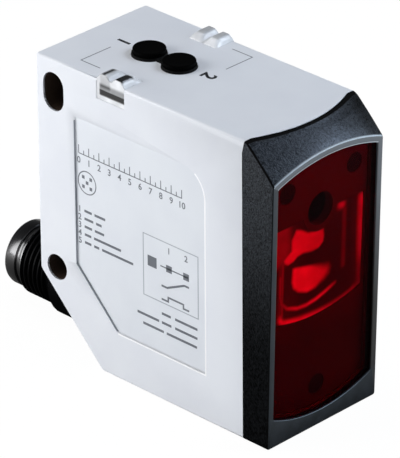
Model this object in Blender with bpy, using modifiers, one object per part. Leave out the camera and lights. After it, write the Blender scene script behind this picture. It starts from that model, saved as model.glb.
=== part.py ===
"""Compact photoelectric sensor with a swivelling plug, as an assembly of separate pieces.

Metres, +Z up. The optical face looks along -Y and the plug leaves at the back. The origin is the middle of
the base, half-way between the back face and the front edge of the base.
"""

import math

import bmesh
import bpy
from mathutils import Matrix, Vector

# Gaps between neighbours
FIT = 0.0001                # pieces that are fixed to each other
RUNNING = 0.00012           # pieces that turn or slide in each other
SEAT = 0.0003               # boards on their ribs and walls
SEAM = 0.00015              # open line between housing and bezel
SHADOW_GAP = 0.0002         # open line between the roof and the middle of the sloping bezel

# Housing
WIDTH = 0.0236
HEIGHT = 0.0500
SHELL_DEPTH = 0.0435        # back face to the seam with the bezel
WALL = 0.0018
EDGE_ROUND = 0.0004
CHAMFER_LENGTH = 0.0133     # both legs of the cut at the lower back edge
TONGUE_REACH = 0.0023       # the roof runs forward of the seam in an arc
TONGUE_FROM_SIDE = 0.0015   # the arc's ends from the sides
TONGUE_THICK = 0.0012

# Screw holes right through the housing
HOLE_DIAMETER = 0.0043
SLOT_WIDTH = 0.0044
SLOT_LENGTH = 0.0064
HOLE_FROM_BACK = 0.00375
SLOT_FROM_TOP = 0.0054
BOSS_WALL = 0.0008
SLEEVE_WALL = 0.0003        # dark lining of the screw holes
SLEEVE_LIP = 0.0004         # white edge left in front of the lining

# Label in the left side
LABEL_MARGIN = 0.0080
LABEL_CUT_LENGTH = 0.00875  # both legs of its cut corner, parallel to the housing's
LABEL_CORNER = 0.0048
LABEL_DEPTH = 0.0005
LABEL_THICK = 0.0001

# Front stack, from the bezel's face inwards
WINDOW_RECESS = 0.0004
WINDOW_THICK = 0.0010
MASK_AIR = 0.0002
MASK_THICK = 0.0015
FLANGE_THICK = 0.0008       # optics block's flange, at the base
WEB_THICK = 0.0009          # bezel's inner web that carries the flange
WINDOW_SEAL_THICK = 0.0003

# Bezel
FRONT_LEAN = math.radians(1.35)
CROWN_PITCH = math.radians(45.5)
CROWN_START = 0.0005        # from the seam to the top of the slope, at the sides
CROWN_REACH = 0.002255      # the slope's middle in front of its sides
CROWN_ROUND = 0.0022        # radius between the roof's level and the slope
RIM = 0.0009
SILL_HEIGHT = 0.0021
SILL_RADIUS = 0.0260
LEDGE = 0.0007
SKIRT_LENGTH = 0.0030
SKIRT_THICK = 0.0010
SKIRT_CORNER = 0.0010
GROOVE_DEPTH = 0.0005
GROOVE_WIDTH = 0.0010

# Optics
EMITTER_BELOW_TOP = 0.0104
EMITTER_HOLE = 0.0054
BARREL_DIAMETER = 0.0055
BARREL_LENGTH = 0.0090
BARREL_WALL = 0.0006
TUBE_WALL = 0.0008
DIODE_DIAMETER = 0.0038
DIODE_CAP_DIAMETER = 0.0026
DIODE_PIN_CIRCLE = 0.0009
DIODE_PIN_RADIUS = 0.0002
LENS_HEIGHT = 0.0171
LENS_BELOW_EMITTER = 0.0007
LENS_ARC = 0.0300
LENS_MARGIN = 0.00065
WELL_BORDER = 0.0026
WELL_RISE = 0.0017
WELL_ARC = 0.0200
WELL_WALL = 0.0005
LENS_FLOOR = 0.0014
DOME_RADIUS = 0.0050
DOME_RISE = 0.0008
SENSOR_RISE = 0.0084        # above the lower edge of the lens
SENSOR_WIDTH = 0.0092
SENSOR_HEIGHT = 0.0032
SENSOR_THICK = 0.0010
BLOCK_LENGTH = 0.0130       # behind the seam
BLOCK_BACK_WALL = 0.0015
POCKET_WALL = 0.0018
SCREW_FROM_SIDE = 0.0046
SCREW_BELOW_TOP = 0.0070
SCREW_ABOVE_BASE = 0.0062
SCREW_HEAD = 0.0032
SCREW_HEAD_HEIGHT = 0.00085
SCREW_SHANK = 0.0018
SCREW_LENGTH = 0.0050

# Boards
BOARD_THICK = 0.0016
BUTTON_BOARD_THICK = 0.0010
RECEIVER_BOARD_THICK = 0.0010
FLEX_THICK = 0.0002
FLEX_BEND = 0.0016
FLEX_HEIGHT = 0.0080
CHIP_THICK = 0.0012
SOCKET_SIZE = 0.0050
SOCKET_DEPTH = 0.0028
SOCKET_ROUND = 0.0003
SOCKET_FROM_FRONT = 0.0090
CHIP_EDGE = 0.0045          # large chips' corner from the board's front and top edges
LARGE_CHIP_SIZE = 0.0070
MIDDLE_CHIP_SIZE = 0.0045
SMALL_CHIP_SIZE = 0.0030
LOWER_CHIP_SIZE = 0.0040
CHIP_GAP = 0.0020

# Buttons and indicators on top
BUTTON_FROM_BACK = 0.01285
CAP_RADIUS = 0.0027
CAP_RISE = 0.00085
CAP_BEVEL = 0.00015
COLLAR_WALL = 0.00015       # rubber lip round each cap
COLLAR_RISE = 0.0004
BUTTON_GAP = 0.0004
BRIDGE_WIDTH = 0.0024
MAT_THICK = 0.0008
MAT_MARGIN = 0.0011
PRESS_TRAVEL = 0.0004
SWITCH_SIZE = 0.0046
SWITCH_HEIGHT = 0.0015
PLUNGER_RADIUS = 0.0009
PLUNGER_HEIGHT = 0.0012
PLUNGER_RISE = 0.0004
GUIDE_WIDTH = 0.0059
GUIDE_REACH = 0.0040
GUIDE_RISE = 0.0010
GUIDE_GROOVE = 0.0009
LOBE_INSET = 0.0001
LOBE_ROUND = 0.0005
LED_WIDTH = 0.0016
LED_DEPTH = 0.0010
LED_HEIGHT = 0.0007
LED_ROOM = 0.0004

# Swivel and plug
SPIGOT_RADIUS = 0.0037
SPIGOT_BORE = 0.0023
SPIGOT_END = 0.0004
SEAL_CORD = 0.0007
SEAL_DEPTH = 0.0001         # seal's inset from the outer face
RING_STEP = 0.0009          # retaining ring beyond the spigot
RING_THICK = 0.0006
RING_GROOVE = 0.0006
RING_SLOT = 0.0016
ELBOW_GAP = 0.0003
PLUG_REACH = 0.0151         # plug tip beyond the back face
BASE_CLEARANCE = 0.00005    # plug above the plane of the base
SOCKET_RADIUS = 0.0042
TIP_WALL = 0.00125
TIP_BEVEL = 0.0004
TIP_LENGTH = 0.0024
TIP_GROOVE = 0.0003
TIP_GAP = 0.0006
TAIL_WALL = 0.0008
THREAD_RADIUS = 0.00595
THREAD_DEPTH = 0.0006
THREAD_LENGTH = 0.0068
RELIEF_LENGTH = 0.0009
TAIL_LENGTH = 0.0040
COLLAR_STEP = 0.0008
COLLAR_BEVEL = 0.0005
INSERT_FROM_TIP = 0.0070
INSERT_LENGTH = 0.0055
PIN_RADIUS = 0.0005
PIN_CIRCLE = 0.0025
PIN_FROM_TIP = 0.0016
PIN_TAIL = 0.0006
KEY_WIDTH = 0.0009
KEY_HEIGHT = 0.0006
LEAD_RADIUS = 0.00042
LEAD_CIRCLE = 0.00085

# Facets
FINE_SIDES = 32
ROUND_SIDES = 24
SMALL_SIDES = 16
PIN_SIDES = 12
CROWN_SIDES = 160
CROWN_STEPS = 4             # facets from the roof's level to the slope, the slope with them
SEAL_SIDES = 8
DOME_STEPS = 6
ARC_STEPS = 12
CORNER_STEPS = 4
LEAD_POINTS = 12
MERGE = 0.000001
OVERRUN = 0.0020            # how far a cutter runs past what it cuts

# Places worked out from the sizes above
HALF_WIDTH = WIDTH / 2
BEZEL_DEPTH = (WINDOW_RECESS + WINDOW_THICK + MASK_AIR + MASK_THICK + FIT
               + FLANGE_THICK + FIT + WEB_THICK)
BACK_Y = (SHELL_DEPTH + BEZEL_DEPTH) / 2
SEAM_Y = BACK_Y - SHELL_DEPTH
FRONT_Y = -BACK_Y
WEB_Y = SEAM_Y - WEB_THICK
INNER_HALF = HALF_WIDTH - WALL
ROOF_Z = HEIGHT - WALL

MASK_NEAR = WINDOW_RECESS + WINDOW_THICK + MASK_AIR
MASK_FAR = MASK_NEAR + MASK_THICK
FLANGE_NEAR = MASK_FAR + FIT
LEDGE_NEAR = WINDOW_RECESS + WINDOW_THICK + WINDOW_SEAL_THICK + 2 * FIT
BLOCK_BACK = SEAM_Y + BLOCK_LENGTH

SLOPE_FALL = math.cos(CROWN_PITCH) + math.tan(FRONT_LEAN) * math.sin(CROWN_PITCH)
ROOF_DEPTH = BEZEL_DEPTH + HEIGHT * math.tan(FRONT_LEAN)
SLOPE_DEPTH = ROOF_DEPTH - CROWN_START
ARCH_TOP = HEIGHT - (SLOPE_DEPTH - CROWN_REACH) / SLOPE_FALL * math.sin(CROWN_PITCH)
ARCH_SIDE = HEIGHT - SLOPE_DEPTH / SLOPE_FALL * math.sin(CROWN_PITCH)


def arc_radius(half_chord, rise):
    """Radius of the arc with this half chord and rise."""
    return (half_chord ** 2 + rise ** 2) / (2 * rise)


ARCH_RADIUS = arc_radius(HALF_WIDTH, ARCH_TOP - ARCH_SIDE)
TONGUE_HALF = HALF_WIDTH - TONGUE_FROM_SIDE
CROWN_TOP_Y = SEAM_Y - CROWN_START - CROWN_REACH

MASK_INSET = LEDGE + 2 * FIT
SKIRT_HALF = INNER_HALF - SEAM
SKIRT_INSET = HALF_WIDTH - RIM - SKIRT_HALF + SKIRT_THICK
BLOCK_INSET = SKIRT_INSET + SEAT
LENS_HALF = HALF_WIDTH - RIM - MASK_INSET - LENS_MARGIN
EMITTER_Z = ARCH_TOP - EMITTER_BELOW_TOP
LENS_TOP = EMITTER_Z - LENS_BELOW_EMITTER
LENS_BOTTOM = LENS_TOP - LENS_HEIGHT
SENSOR_Z = LENS_BOTTOM + SENSOR_RISE
SCREW_X = HALF_WIDTH - SCREW_FROM_SIDE
WELL_HALF = LENS_HALF - WELL_BORDER
BORE_RADIUS = BARREL_DIAMETER / 2 + FIT
TUBE_RADIUS = BORE_RADIUS + TUBE_WALL
BARREL_BACK = BLOCK_BACK - BLOCK_BACK_WALL
RECEIVER_BOARD_Y = BLOCK_BACK + FIT
RECEIVER_BOARD_BACK = RECEIVER_BOARD_Y + RECEIVER_BOARD_THICK

BUTTON_PITCH = 2 * (CAP_RADIUS + FIT + COLLAR_WALL) + BUTTON_GAP
COLLAR_RADIUS = CAP_RADIUS + FIT + COLLAR_WALL
BUTTON_Y = [BACK_Y - BUTTON_FROM_BACK, BACK_Y - BUTTON_FROM_BACK - BUTTON_PITCH]
PANEL_Y = sum(BUTTON_Y) / 2
MAT_TOP = ROOF_Z - FIT
MAT_BOTTOM = MAT_TOP - MAT_THICK
SWITCH_TOP = MAT_BOTTOM - FIT
SWITCH_BOTTOM = SWITCH_TOP - SWITCH_HEIGHT
BUTTON_BOARD_TOP = SWITCH_BOTTOM - FIT
BUTTON_BOARD_BOTTOM = BUTTON_BOARD_TOP - BUTTON_BOARD_THICK
PLUNGER_TOP = SWITCH_TOP + PLUNGER_RISE
CAP_BOTTOM = PLUNGER_TOP + FIT
LED_TOP = BUTTON_BOARD_TOP + FIT + LED_HEIGHT
GUIDE_BOTTOM = LED_TOP + LED_ROOM

BOARD_OUTER = INNER_HALF - SEAT
BOARD_INNER = BOARD_OUTER - BOARD_THICK
BOARD_FRONT = RECEIVER_BOARD_BACK + FLEX_BEND + SEAT

SWIVEL_OUT = Vector((0, 1, -1)).normalized()
SWIVEL_FOOT = Vector((0, BACK_Y - CHAMFER_LENGTH / 2, CHAMFER_LENGTH / 2))
RING_OUTER = SPIGOT_RADIUS + RING_STEP
RING_INNER = SPIGOT_RADIUS - RING_GROOVE + FIT
RING_NEAR = WALL + SEAT
SPIGOT_LENGTH = RING_NEAR + RING_THICK + FIT + SPIGOT_END
BOSS_RADIUS = HOLE_DIAMETER / 2 + BOSS_WALL
SLOT_BOSS_RADIUS = SLOT_WIDTH / 2 + BOSS_WALL
SLOT_RUN = SLOT_LENGTH - SLOT_WIDTH
HOLE_Y = BACK_Y - HOLE_FROM_BACK
SLOT_Z = HEIGHT - SLOT_FROM_TOP
SLEEVE_SEAT = HALF_WIDTH - SLEEVE_LIP
RING_ROOM = RING_OUTER + RUNNING + BOSS_RADIUS
HOLE_Z = SWIVEL_FOOT.z + RING_ROOM * math.sqrt(2) - (HOLE_Y - SWIVEL_FOOT.y)

PLUG_Z = THREAD_RADIUS + BASE_CLEARANCE
PLUG_KNEE = Vector((0, SWIVEL_FOOT.y + SWIVEL_FOOT.z - PLUG_Z, PLUG_Z))
PLUG_TIP = Vector((0, BACK_Y + PLUG_REACH, PLUG_Z))
COLLAR_OUTER = THREAD_RADIUS + COLLAR_STEP
THREAD_START = TIP_LENGTH + TIP_GAP
THREAD_END = THREAD_START + THREAD_LENGTH
SLEEVE_SHOULDER = THREAD_END + RELIEF_LENGTH
SLEEVE_LENGTH = SLEEVE_SHOULDER + TAIL_LENGTH
TAIL_RADIUS = SOCKET_RADIUS + TAIL_WALL
INSERT_RADIUS = SOCKET_RADIUS - FIT
INSERT_END = INSERT_FROM_TIP + INSERT_LENGTH

BROWN = (0.17, 0.07, 0.03)
WHITE = (0.75, 0.75, 0.74)
BLUE = (0.03, 0.08, 0.35)
BLACK = (0.012, 0.012, 0.013)
GREY = (0.25, 0.25, 0.26)


def frame(origin, across, up):
    """Placement whose local X and Y lie along two square world directions."""
    x = Vector(across).normalized()
    y = Vector(up).normalized()
    turn = Matrix((x, y, x.cross(y))).transposed().to_4x4()
    return Matrix.Translation(origin) @ turn


def along(origin, axis):
    """Placement whose local Z lies along a world direction, with X level."""
    z = Vector(axis).normalized()
    level = Vector((1, 0, 0)) if abs(z.x) < 0.9 else Vector((0, 1, 0))
    return frame(origin, level, z.cross(level))


SIDE = frame((0, 0, 0), (0, 1, 0), (0, 0, 1))
FRONT = frame((0, 0, 0), (1, 0, 0), (0, 0, 1))
PLAN = Matrix.Identity(4)
FACE = frame((0, FRONT_Y, 0), (1, 0, 0), (0, -math.sin(FRONT_LEAN), math.cos(FRONT_LEAN)))


def new_collection(name):
    """Collection linked into the scene."""
    made = bpy.data.collections.new(name)
    bpy.context.scene.collection.children.link(made)
    return made


def clear_scene():
    """Remove every object that is there."""
    for old in list(bpy.data.objects):
        bpy.data.objects.remove(old)


clear_scene()
PARTS = new_collection("photoelectric_sensor")
CUTTERS = new_collection("cutters")


def add(name, data, place):
    """New object among the parts."""
    made = bpy.data.objects.new(name, data)
    PARTS.objects.link(made)
    made.matrix_world = place
    return made


def evaluated_mesh(source):
    """Mesh of an object as its modifiers leave it."""
    bpy.context.view_layer.update()
    depsgraph = bpy.context.evaluated_depsgraph_get()
    return bpy.data.meshes.new_from_object(source.evaluated_get(depsgraph))


def smooth(mesh):
    """Smooth shading that keeps the real edges."""
    mesh.shade_smooth()
    mesh.set_sharp_from_angle(angle=math.radians(35))


def arc(centre, radius, start, end, steps):
    """Points on a circle from one angle to another."""
    turns = [start + (end - start) * i / steps for i in range(steps + 1)]
    return [(centre[0] + radius * math.cos(a), centre[1] + radius * math.sin(a)) for a in turns]


def rectangle(low, high):
    """Square-cornered outline."""
    return [low, (high[0], low[1]), high, (low[0], high[1])]


def rounded_rectangle(low, high, radius):
    """Outline with four round corners."""
    quarter = math.pi / 2
    corners = [(high[0] - radius, high[1] - radius), (low[0] + radius, high[1] - radius),
               (low[0] + radius, low[1] + radius), (high[0] - radius, low[1] + radius)]
    points = []
    for i, corner in enumerate(corners):
        points += arc(corner, radius, i * quarter, (i + 1) * quarter, CORNER_STEPS)
    return points


def upright_slot(centre, radius, run):
    """Outline of a slot with round ends, standing upright."""
    upper = (centre[0], centre[1] + run / 2)
    lower = (centre[0], centre[1] - run / 2)
    return (arc(upper, radius, 0, math.pi, ARC_STEPS)
            + arc(lower, radius, math.pi, 2 * math.pi, ARC_STEPS))


def window_outline(inset):
    """Opening of the bezel, arched at top and bottom, drawn in by an inset."""
    half = HALF_WIDTH - RIM - inset
    top = ARCH_TOP - RIM - inset
    sill = SILL_HEIGHT + inset
    top_radius = ARCH_RADIUS - RIM - inset
    sill_radius = SILL_RADIUS - inset
    top_sweep = math.asin(half / top_radius)
    sill_sweep = math.asin(half / sill_radius)
    lower = arc((0, sill + sill_radius), sill_radius,
                -math.pi / 2 - sill_sweep, -math.pi / 2 + sill_sweep, ARC_STEPS)
    upper = arc((0, top - top_radius), top_radius,
                math.pi / 2 - top_sweep, math.pi / 2 + top_sweep, ARC_STEPS)
    return lower + upper


def lens_outline(half, bottom, top, radius):
    """Outline with a straight top and a round bottom."""
    sweep = math.asin(half / radius)
    lower = arc((0, bottom + radius), radius,
                -math.pi / 2 - sweep, -math.pi / 2 + sweep, ARC_STEPS)
    return lower + [(half, top), (-half, top)]


def slab(name, loops, place, near, far):
    """Flat outline with its holes, thickened from near to far along the placement's Z."""
    curve = bpy.data.curves.new(name, "CURVE")
    curve.dimensions = "2D"
    curve.fill_mode = "BOTH"
    curve.extrude = abs(far - near) / 2
    for loop in loops:
        spline = curve.splines.new("POLY")
        spline.points.add(len(loop) - 1)
        for point, (across, up) in zip(spline.points, loop):
            point.co = (across, up, 0, 1)
        spline.use_cyclic_u = True
    flat = add(name + "_outline", curve, place @ Matrix.Translation((0, 0, (near + far) / 2)))
    mesh = evaluated_mesh(flat)
    shape = bmesh.new()
    shape.from_mesh(mesh)
    bmesh.ops.remove_doubles(shape, verts=shape.verts, dist=MERGE)
    shape.to_mesh(mesh)
    shape.free()
    smooth(mesh)
    made = add(name, mesh, flat.matrix_world.copy())
    bpy.data.objects.remove(flat)
    return made


def box(name, low, high):
    """Box between two corners."""
    mesh = bpy.data.meshes.new(name)
    shape = bmesh.new()
    bmesh.ops.create_cube(shape, size=1.0)
    size = Vector(high) - Vector(low)
    bmesh.ops.scale(shape, vec=size, verts=shape.verts)
    shape.to_mesh(mesh)
    shape.free()
    return add(name, mesh, Matrix.Translation((Vector(low) + Vector(high)) / 2))


def rod(name, start, end, radius, sides):
    """Cylinder between two points."""
    start = Vector(start)
    axis = Vector(end) - start
    mesh = bpy.data.meshes.new(name)
    shape = bmesh.new()
    bmesh.ops.create_cone(shape, cap_ends=True, segments=sides, radius1=radius, radius2=radius,
                          depth=axis.length)
    shape.to_mesh(mesh)
    shape.free()
    smooth(mesh)
    return add(name, mesh, along(start + axis / 2, axis))


def turned(name, profile, place, sides, ring=False):
    """Profile of (radius, height) points turned about the placement's Z.

    The profile runs down the outer side, and a ring's profile closes on itself.
    """
    edges = [(i, i + 1) for i in range(len(profile) - 1)]
    if ring:
        edges.append((len(profile) - 1, 0))
    mesh = bpy.data.meshes.new(name)
    mesh.from_pydata([(radius, 0, height) for radius, height in profile], edges, [])
    made = add(name, mesh, place)
    turn = made.modifiers.new("Turn", "SCREW")
    turn.axis = "Z"
    turn.steps = sides
    turn.render_steps = sides
    turn.use_merge_vertices = True
    turn.merge_threshold = MERGE
    turn.use_smooth_shade = True
    return made


def round_edges(target, width):
    """Round the hard edges of a piece."""
    soft = target.modifiers.new("Round", "BEVEL")
    soft.width = width
    soft.segments = 2
    soft.limit_method = "ANGLE"
    soft.angle_limit = math.radians(35)
    target.modifiers.new("Flat faces", "TRIANGULATE")


def combine(target, helper, operation):
    """Boolean of a piece with a helper solid, which stays as a hidden cutter."""
    PARTS.objects.unlink(helper)
    CUTTERS.objects.link(helper)
    helper.hide_render = True
    helper.display_type = "WIRE"
    step = target.modifiers.new(helper.name, "BOOLEAN")
    step.operation = operation
    step.object = helper
    step.solver = "EXACT"


def cut(target, *helpers):
    """Take helper solids away from a piece."""
    for helper in helpers:
        combine(target, helper, "DIFFERENCE")


def join(target, *helpers):
    """Fuse helper solids with a piece."""
    for helper in helpers:
        combine(target, helper, "UNION")


def paint(target, colour, roughness, metallic=0.0, clear=0.0):
    """Give a piece its own material."""
    finish = bpy.data.materials.new(target.name + "_finish")
    finish.use_nodes = True
    shader = finish.node_tree.nodes["Principled BSDF"]
    shader.inputs["Base Color"].default_value = (*colour, 1)
    shader.inputs["Roughness"].default_value = roughness
    shader.inputs["Metallic"].default_value = metallic
    shader.inputs["Transmission Weight"].default_value = clear
    target.data.materials.append(finish)


def front_y(z):
    """Where the leaning front face lies at a height."""
    return FRONT_Y - z * math.tan(FRONT_LEAN)


def on_swivel(distance):
    """Point on the swivel axis, measured out from the 45 degree face."""
    return SWIVEL_FOOT + SWIVEL_OUT * distance


def face_spot(x, z):
    """Placement on the leaning front face, local Z pointing out."""
    return FACE @ Matrix.Translation((x, z, 0))


def tongue_arc(side_gap, middle_gap):
    """Front edge of the roof in plan, moved forward by a gap at its ends and one in its middle."""
    reach = TONGUE_REACH + middle_gap - side_gap
    radius = arc_radius(TONGUE_HALF, reach)
    centre = (0, SEAM_Y - side_gap - reach + radius)
    sweep = math.asin(TONGUE_HALF / radius)
    return arc(centre, radius, -math.pi / 2 - sweep, -math.pi / 2 + sweep, 2 * ARC_STEPS)


def make_housing():
    """White shell with its screw bosses, roof tongue and openings."""
    far = WIDTH + OVERRUN
    front = FRONT_Y - OVERRUN
    chamfer_offset = BACK_Y - CHAMFER_LENGTH
    inner_offset = chamfer_offset - WALL * math.sqrt(2)
    outer = [(front, 0), (chamfer_offset, 0), (BACK_Y, CHAMFER_LENGTH), (BACK_Y, HEIGHT), (front, HEIGHT)]
    inner = [(front - OVERRUN, WALL), (inner_offset + WALL, WALL),
             (BACK_Y - WALL, BACK_Y - WALL - inner_offset), (BACK_Y - WALL, ROOF_Z),
             (front - OVERRUN, ROOF_Z)]
    housing = slab("housing", [outer], SIDE, -HALF_WIDTH, HALF_WIDTH)
    round_edges(housing, EDGE_ROUND)
    for side, name in ((-1, "left"), (1, "right")):
        ends = sorted([side * (HALF_WIDTH - GUIDE_REACH), side * far])
        notch = box("guide_notch_" + name, (ends[0], PANEL_Y - GUIDE_WIDTH / 2, GUIDE_BOTTOM - FIT),
                    (ends[1], PANEL_Y + GUIDE_WIDTH / 2, HEIGHT + OVERRUN))
        cut(housing, notch)
    tongue_bottom = HEIGHT - TONGUE_THICK
    ahead = tongue_arc(0, 0)
    ahead = [(-far, SEAM_Y)] + ahead + [(far, SEAM_Y), (far, front - OVERRUN), (-far, front - OVERRUN)]
    cut(housing,
        box("space_for_bezel", (-far, front - OVERRUN, -OVERRUN), (far, SEAM_Y, tongue_bottom)),
        slab("space_before_tongue", [ahead], PLAN, tongue_bottom - FIT, HEIGHT + OVERRUN),
        slab("inside", [inner], SIDE, -INNER_HALF, INNER_HALF))
    embed = INNER_HALF + WALL / 2
    join(housing,
         rod("round_boss", (-embed, HOLE_Y, HOLE_Z), (embed, HOLE_Y, HOLE_Z), BOSS_RADIUS, ROUND_SIDES),
         slab("slot_boss", [upright_slot((HOLE_Y, SLOT_Z), SLOT_BOSS_RADIUS, SLOT_RUN)], SIDE,
              -embed, embed),
         box("slot_boss_root", (-embed, HOLE_Y, SLOT_Z), (embed, BACK_Y - WALL / 2, HEIGHT - WALL / 2)),
         box("button_board_rib",
             (-embed, PANEL_Y - BUTTON_PITCH, BUTTON_BOARD_BOTTOM - FIT - WALL),
             (-INNER_HALF + WALL, PANEL_Y + BUTTON_PITCH, BUTTON_BOARD_BOTTOM - FIT)))
    cut(housing,
        rod("round_hole", (-far, HOLE_Y, HOLE_Z), (far, HOLE_Y, HOLE_Z), HOLE_DIAMETER / 2, ROUND_SIDES),
        slab("slot_hole", [upright_slot((HOLE_Y, SLOT_Z), SLOT_WIDTH / 2, SLOT_RUN)], SIDE, -far, far),
        rod("round_seat", (-SLEEVE_SEAT, HOLE_Y, HOLE_Z), (SLEEVE_SEAT, HOLE_Y, HOLE_Z),
            HOLE_DIAMETER / 2 + SLEEVE_WALL + FIT, ROUND_SIDES),
        slab("slot_seat", [upright_slot((HOLE_Y, SLOT_Z), SLOT_WIDTH / 2 + SLEEVE_WALL + FIT, SLOT_RUN)],
             SIDE, -SLEEVE_SEAT, SLEEVE_SEAT),
        rod("swivel_hole", on_swivel(-WALL - OVERRUN), on_swivel(OVERRUN), SPIGOT_RADIUS + RUNNING,
            FINE_SIDES),
        slab("label_recess", [label_outline(0)], SIDE, -far, -HALF_WIDTH + LABEL_DEPTH),
        *button_holes(COLLAR_RADIUS + FIT, BRIDGE_WIDTH / 2 + FIT))
    paint(housing, (0.78, 0.80, 0.83), 0.45)


def make_sleeves():
    """Dark sleeves that line both screw holes, moulded in behind a white lip."""
    end = SLEEVE_SEAT - FIT
    inner = HOLE_DIAMETER / 2
    outer = inner + SLEEVE_WALL
    ring = [(outer, end), (outer, -end), (inner, -end), (inner, end)]
    sleeve = turned("screw_sleeve_round", ring, along((0, HOLE_Y, HOLE_Z), (1, 0, 0)), ROUND_SIDES, ring=True)
    paint(sleeve, (0.035, 0.028, 0.022), 0.45, metallic=1.0)
    half = SLOT_WIDTH / 2
    loops = [upright_slot((HOLE_Y, SLOT_Z), half + wall, SLOT_RUN) for wall in (SLEEVE_WALL, 0)]
    sleeve = slab("screw_sleeve_slot", loops, SIDE, -end, end)
    paint(sleeve, (0.035, 0.028, 0.022), 0.45, metallic=1.0)


def label_outline(inset):
    """Label area on the left side, in side view, drawn in by an inset."""
    back = BACK_Y - LABEL_MARGIN - inset
    front = SEAM_Y + LABEL_MARGIN + inset
    low = LABEL_MARGIN + inset
    high = HEIGHT - LABEL_MARGIN - inset
    leg = LABEL_CUT_LENGTH - inset * (2 - math.sqrt(2))
    radius = LABEL_CORNER - inset
    corner = arc((front + radius, high - radius), radius, math.pi / 2, math.pi, ARC_STEPS)
    return [(back - leg, low), (back, low + leg), (back, high)] + corner + [(front, low)]


def button_holes(radius, half_bridge):
    """Openings in the roof for both buttons and the bridge between them."""
    low = ROOF_Z - OVERRUN
    high = HEIGHT + OVERRUN
    holes = [rod("button_hole", (0, y, low), (0, y, high), radius, FINE_SIDES) for y in BUTTON_Y]
    bridge = box("bridge_hole", (-half_bridge, BUTTON_Y[1], low), (half_bridge, BUTTON_Y[0], high))
    return holes + [bridge]


def crown_rod(name, pitch):
    """Round bar that touches the crowned slope, or the rounding above it, where that falls at a pitch."""
    slope = Vector((0, -math.cos(pitch), -math.sin(pitch)))
    outward = Vector((0, -math.sin(pitch), math.cos(pitch)))
    radius = arc_radius(HALF_WIDTH, CROWN_REACH * math.sin(pitch))
    set_back = CROWN_ROUND * (math.tan(CROWN_PITCH / 2) - math.tan(pitch / 2))
    axis_point = Vector((0, CROWN_TOP_Y + set_back, HEIGHT)) - outward * radius
    return rod(name, axis_point - slope * HEIGHT, axis_point + slope * HEIGHT, radius, CROWN_SIDES)


def make_bezel():
    """Black frame round the window, with a crowned slope on top and a skirt behind."""
    far = WIDTH + OVERRUN
    behind = SEAM_Y + SKIRT_LENGTH
    profile = [(behind, 0), (behind, HEIGHT), (front_y(HEIGHT), HEIGHT), (FRONT_Y, 0)]
    bezel = slab("front_bezel", [profile], SIDE, -HALF_WIDTH, HALF_WIDTH)
    round_edges(bezel, EDGE_ROUND)
    for step in range(1, CROWN_STEPS + 1):
        combine(bezel, crown_rod("crown_%d" % step, CROWN_PITCH * step / CROWN_STEPS), "INTERSECT")
    pocket = tongue_arc(SEAM, SHADOW_GAP)
    pocket = [(-far, SEAM_Y)] + pocket + [(far, SEAM_Y), (far, behind + OVERRUN), (-far, behind + OVERRUN)]
    cut(bezel,
        box("bezel_back", (-far, SEAM_Y - SEAM, -OVERRUN), (far, behind + OVERRUN, HEIGHT + OVERRUN)),
        slab("tongue_pocket", [pocket], PLAN, HEIGHT - TONGUE_THICK - SHADOW_GAP, HEIGHT + OVERRUN))
    join(bezel, slab("skirt", [skirt_outline(0)], FRONT, -behind, -(WEB_Y + WEB_THICK / 3)))
    cut(bezel,
        slab("window_pocket", [window_outline(0)], FACE, -LEDGE_NEAR, OVERRUN),
        slab("optics_opening", [window_outline(LEDGE)], FRONT, -WEB_Y, -FRONT_Y + BEZEL_DEPTH),
        slab("skirt_opening", [window_outline(SKIRT_INSET)], FRONT, -behind - OVERRUN, -WEB_Y + OVERRUN),
        slab("seal_groove", [skirt_outline(-OVERRUN), skirt_outline(GROOVE_DEPTH)], FRONT,
             -(SEAM_Y + SKIRT_LENGTH / 2 + GROOVE_WIDTH / 2),
             -(SEAM_Y + SKIRT_LENGTH / 2 - GROOVE_WIDTH / 2)))
    paint(bezel, (0.020, 0.021, 0.023), 0.42)


def skirt_outline(inset):
    """Outside of the bezel's skirt in the housing's mouth, drawn in by an inset."""
    low = (-SKIRT_HALF + inset, WALL + SEAM + inset)
    high = (SKIRT_HALF - inset, ROOF_Z - SEAM - inset)
    return rounded_rectangle(low, high, SKIRT_CORNER - min(inset, SKIRT_CORNER / 2))


def make_front_seals():
    """Gasket in the skirt's groove and gasket behind the window."""
    middle = SEAM_Y + SKIRT_LENGTH / 2
    half = GROOVE_WIDTH / 2 - FIT
    bezel_seal = slab("bezel_seal", [skirt_outline(-FIT / 2), skirt_outline(GROOVE_DEPTH - FIT)], FRONT,
                      -(middle + half), -(middle - half))
    paint(bezel_seal, BLACK, 0.8)
    near = WINDOW_RECESS + WINDOW_THICK + FIT
    window_seal = slab("window_seal", [window_outline(FIT), window_outline(LEDGE)], FACE,
                       -(near + WINDOW_SEAL_THICK), -near)
    paint(window_seal, BLACK, 0.8)


def make_window():
    """Red pane set a little behind the bezel's rim."""
    window = slab("front_window", [window_outline(FIT)], FACE,
                  -(WINDOW_RECESS + WINDOW_THICK), -WINDOW_RECESS)
    paint(window, (0.45, 0.004, 0.012), 0.06, clear=0.9)


def make_label():
    """Thin bare plate in the side recess."""
    inside = -HALF_WIDTH + LABEL_DEPTH - FIT / 2
    label = slab("label_plate", [label_outline(FIT)], SIDE, inside - LABEL_THICK, inside)
    paint(label, (0.62, 0.65, 0.68), 0.4)


def screw_places():
    """Three screws that hold the mask and the optics block together."""
    high = ARCH_TOP - SCREW_BELOW_TOP + MASK_NEAR
    return [face_spot(-SCREW_X, high), face_spot(SCREW_X, high), face_spot(0, SCREW_ABOVE_BASE)]


def screw_cutter(name, place, radius, near, far):
    """Round hole square to the front face."""
    return rod(name, place @ Vector((0, 0, -far)), place @ Vector((0, 0, -near)), radius, SMALL_SIDES)


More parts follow.
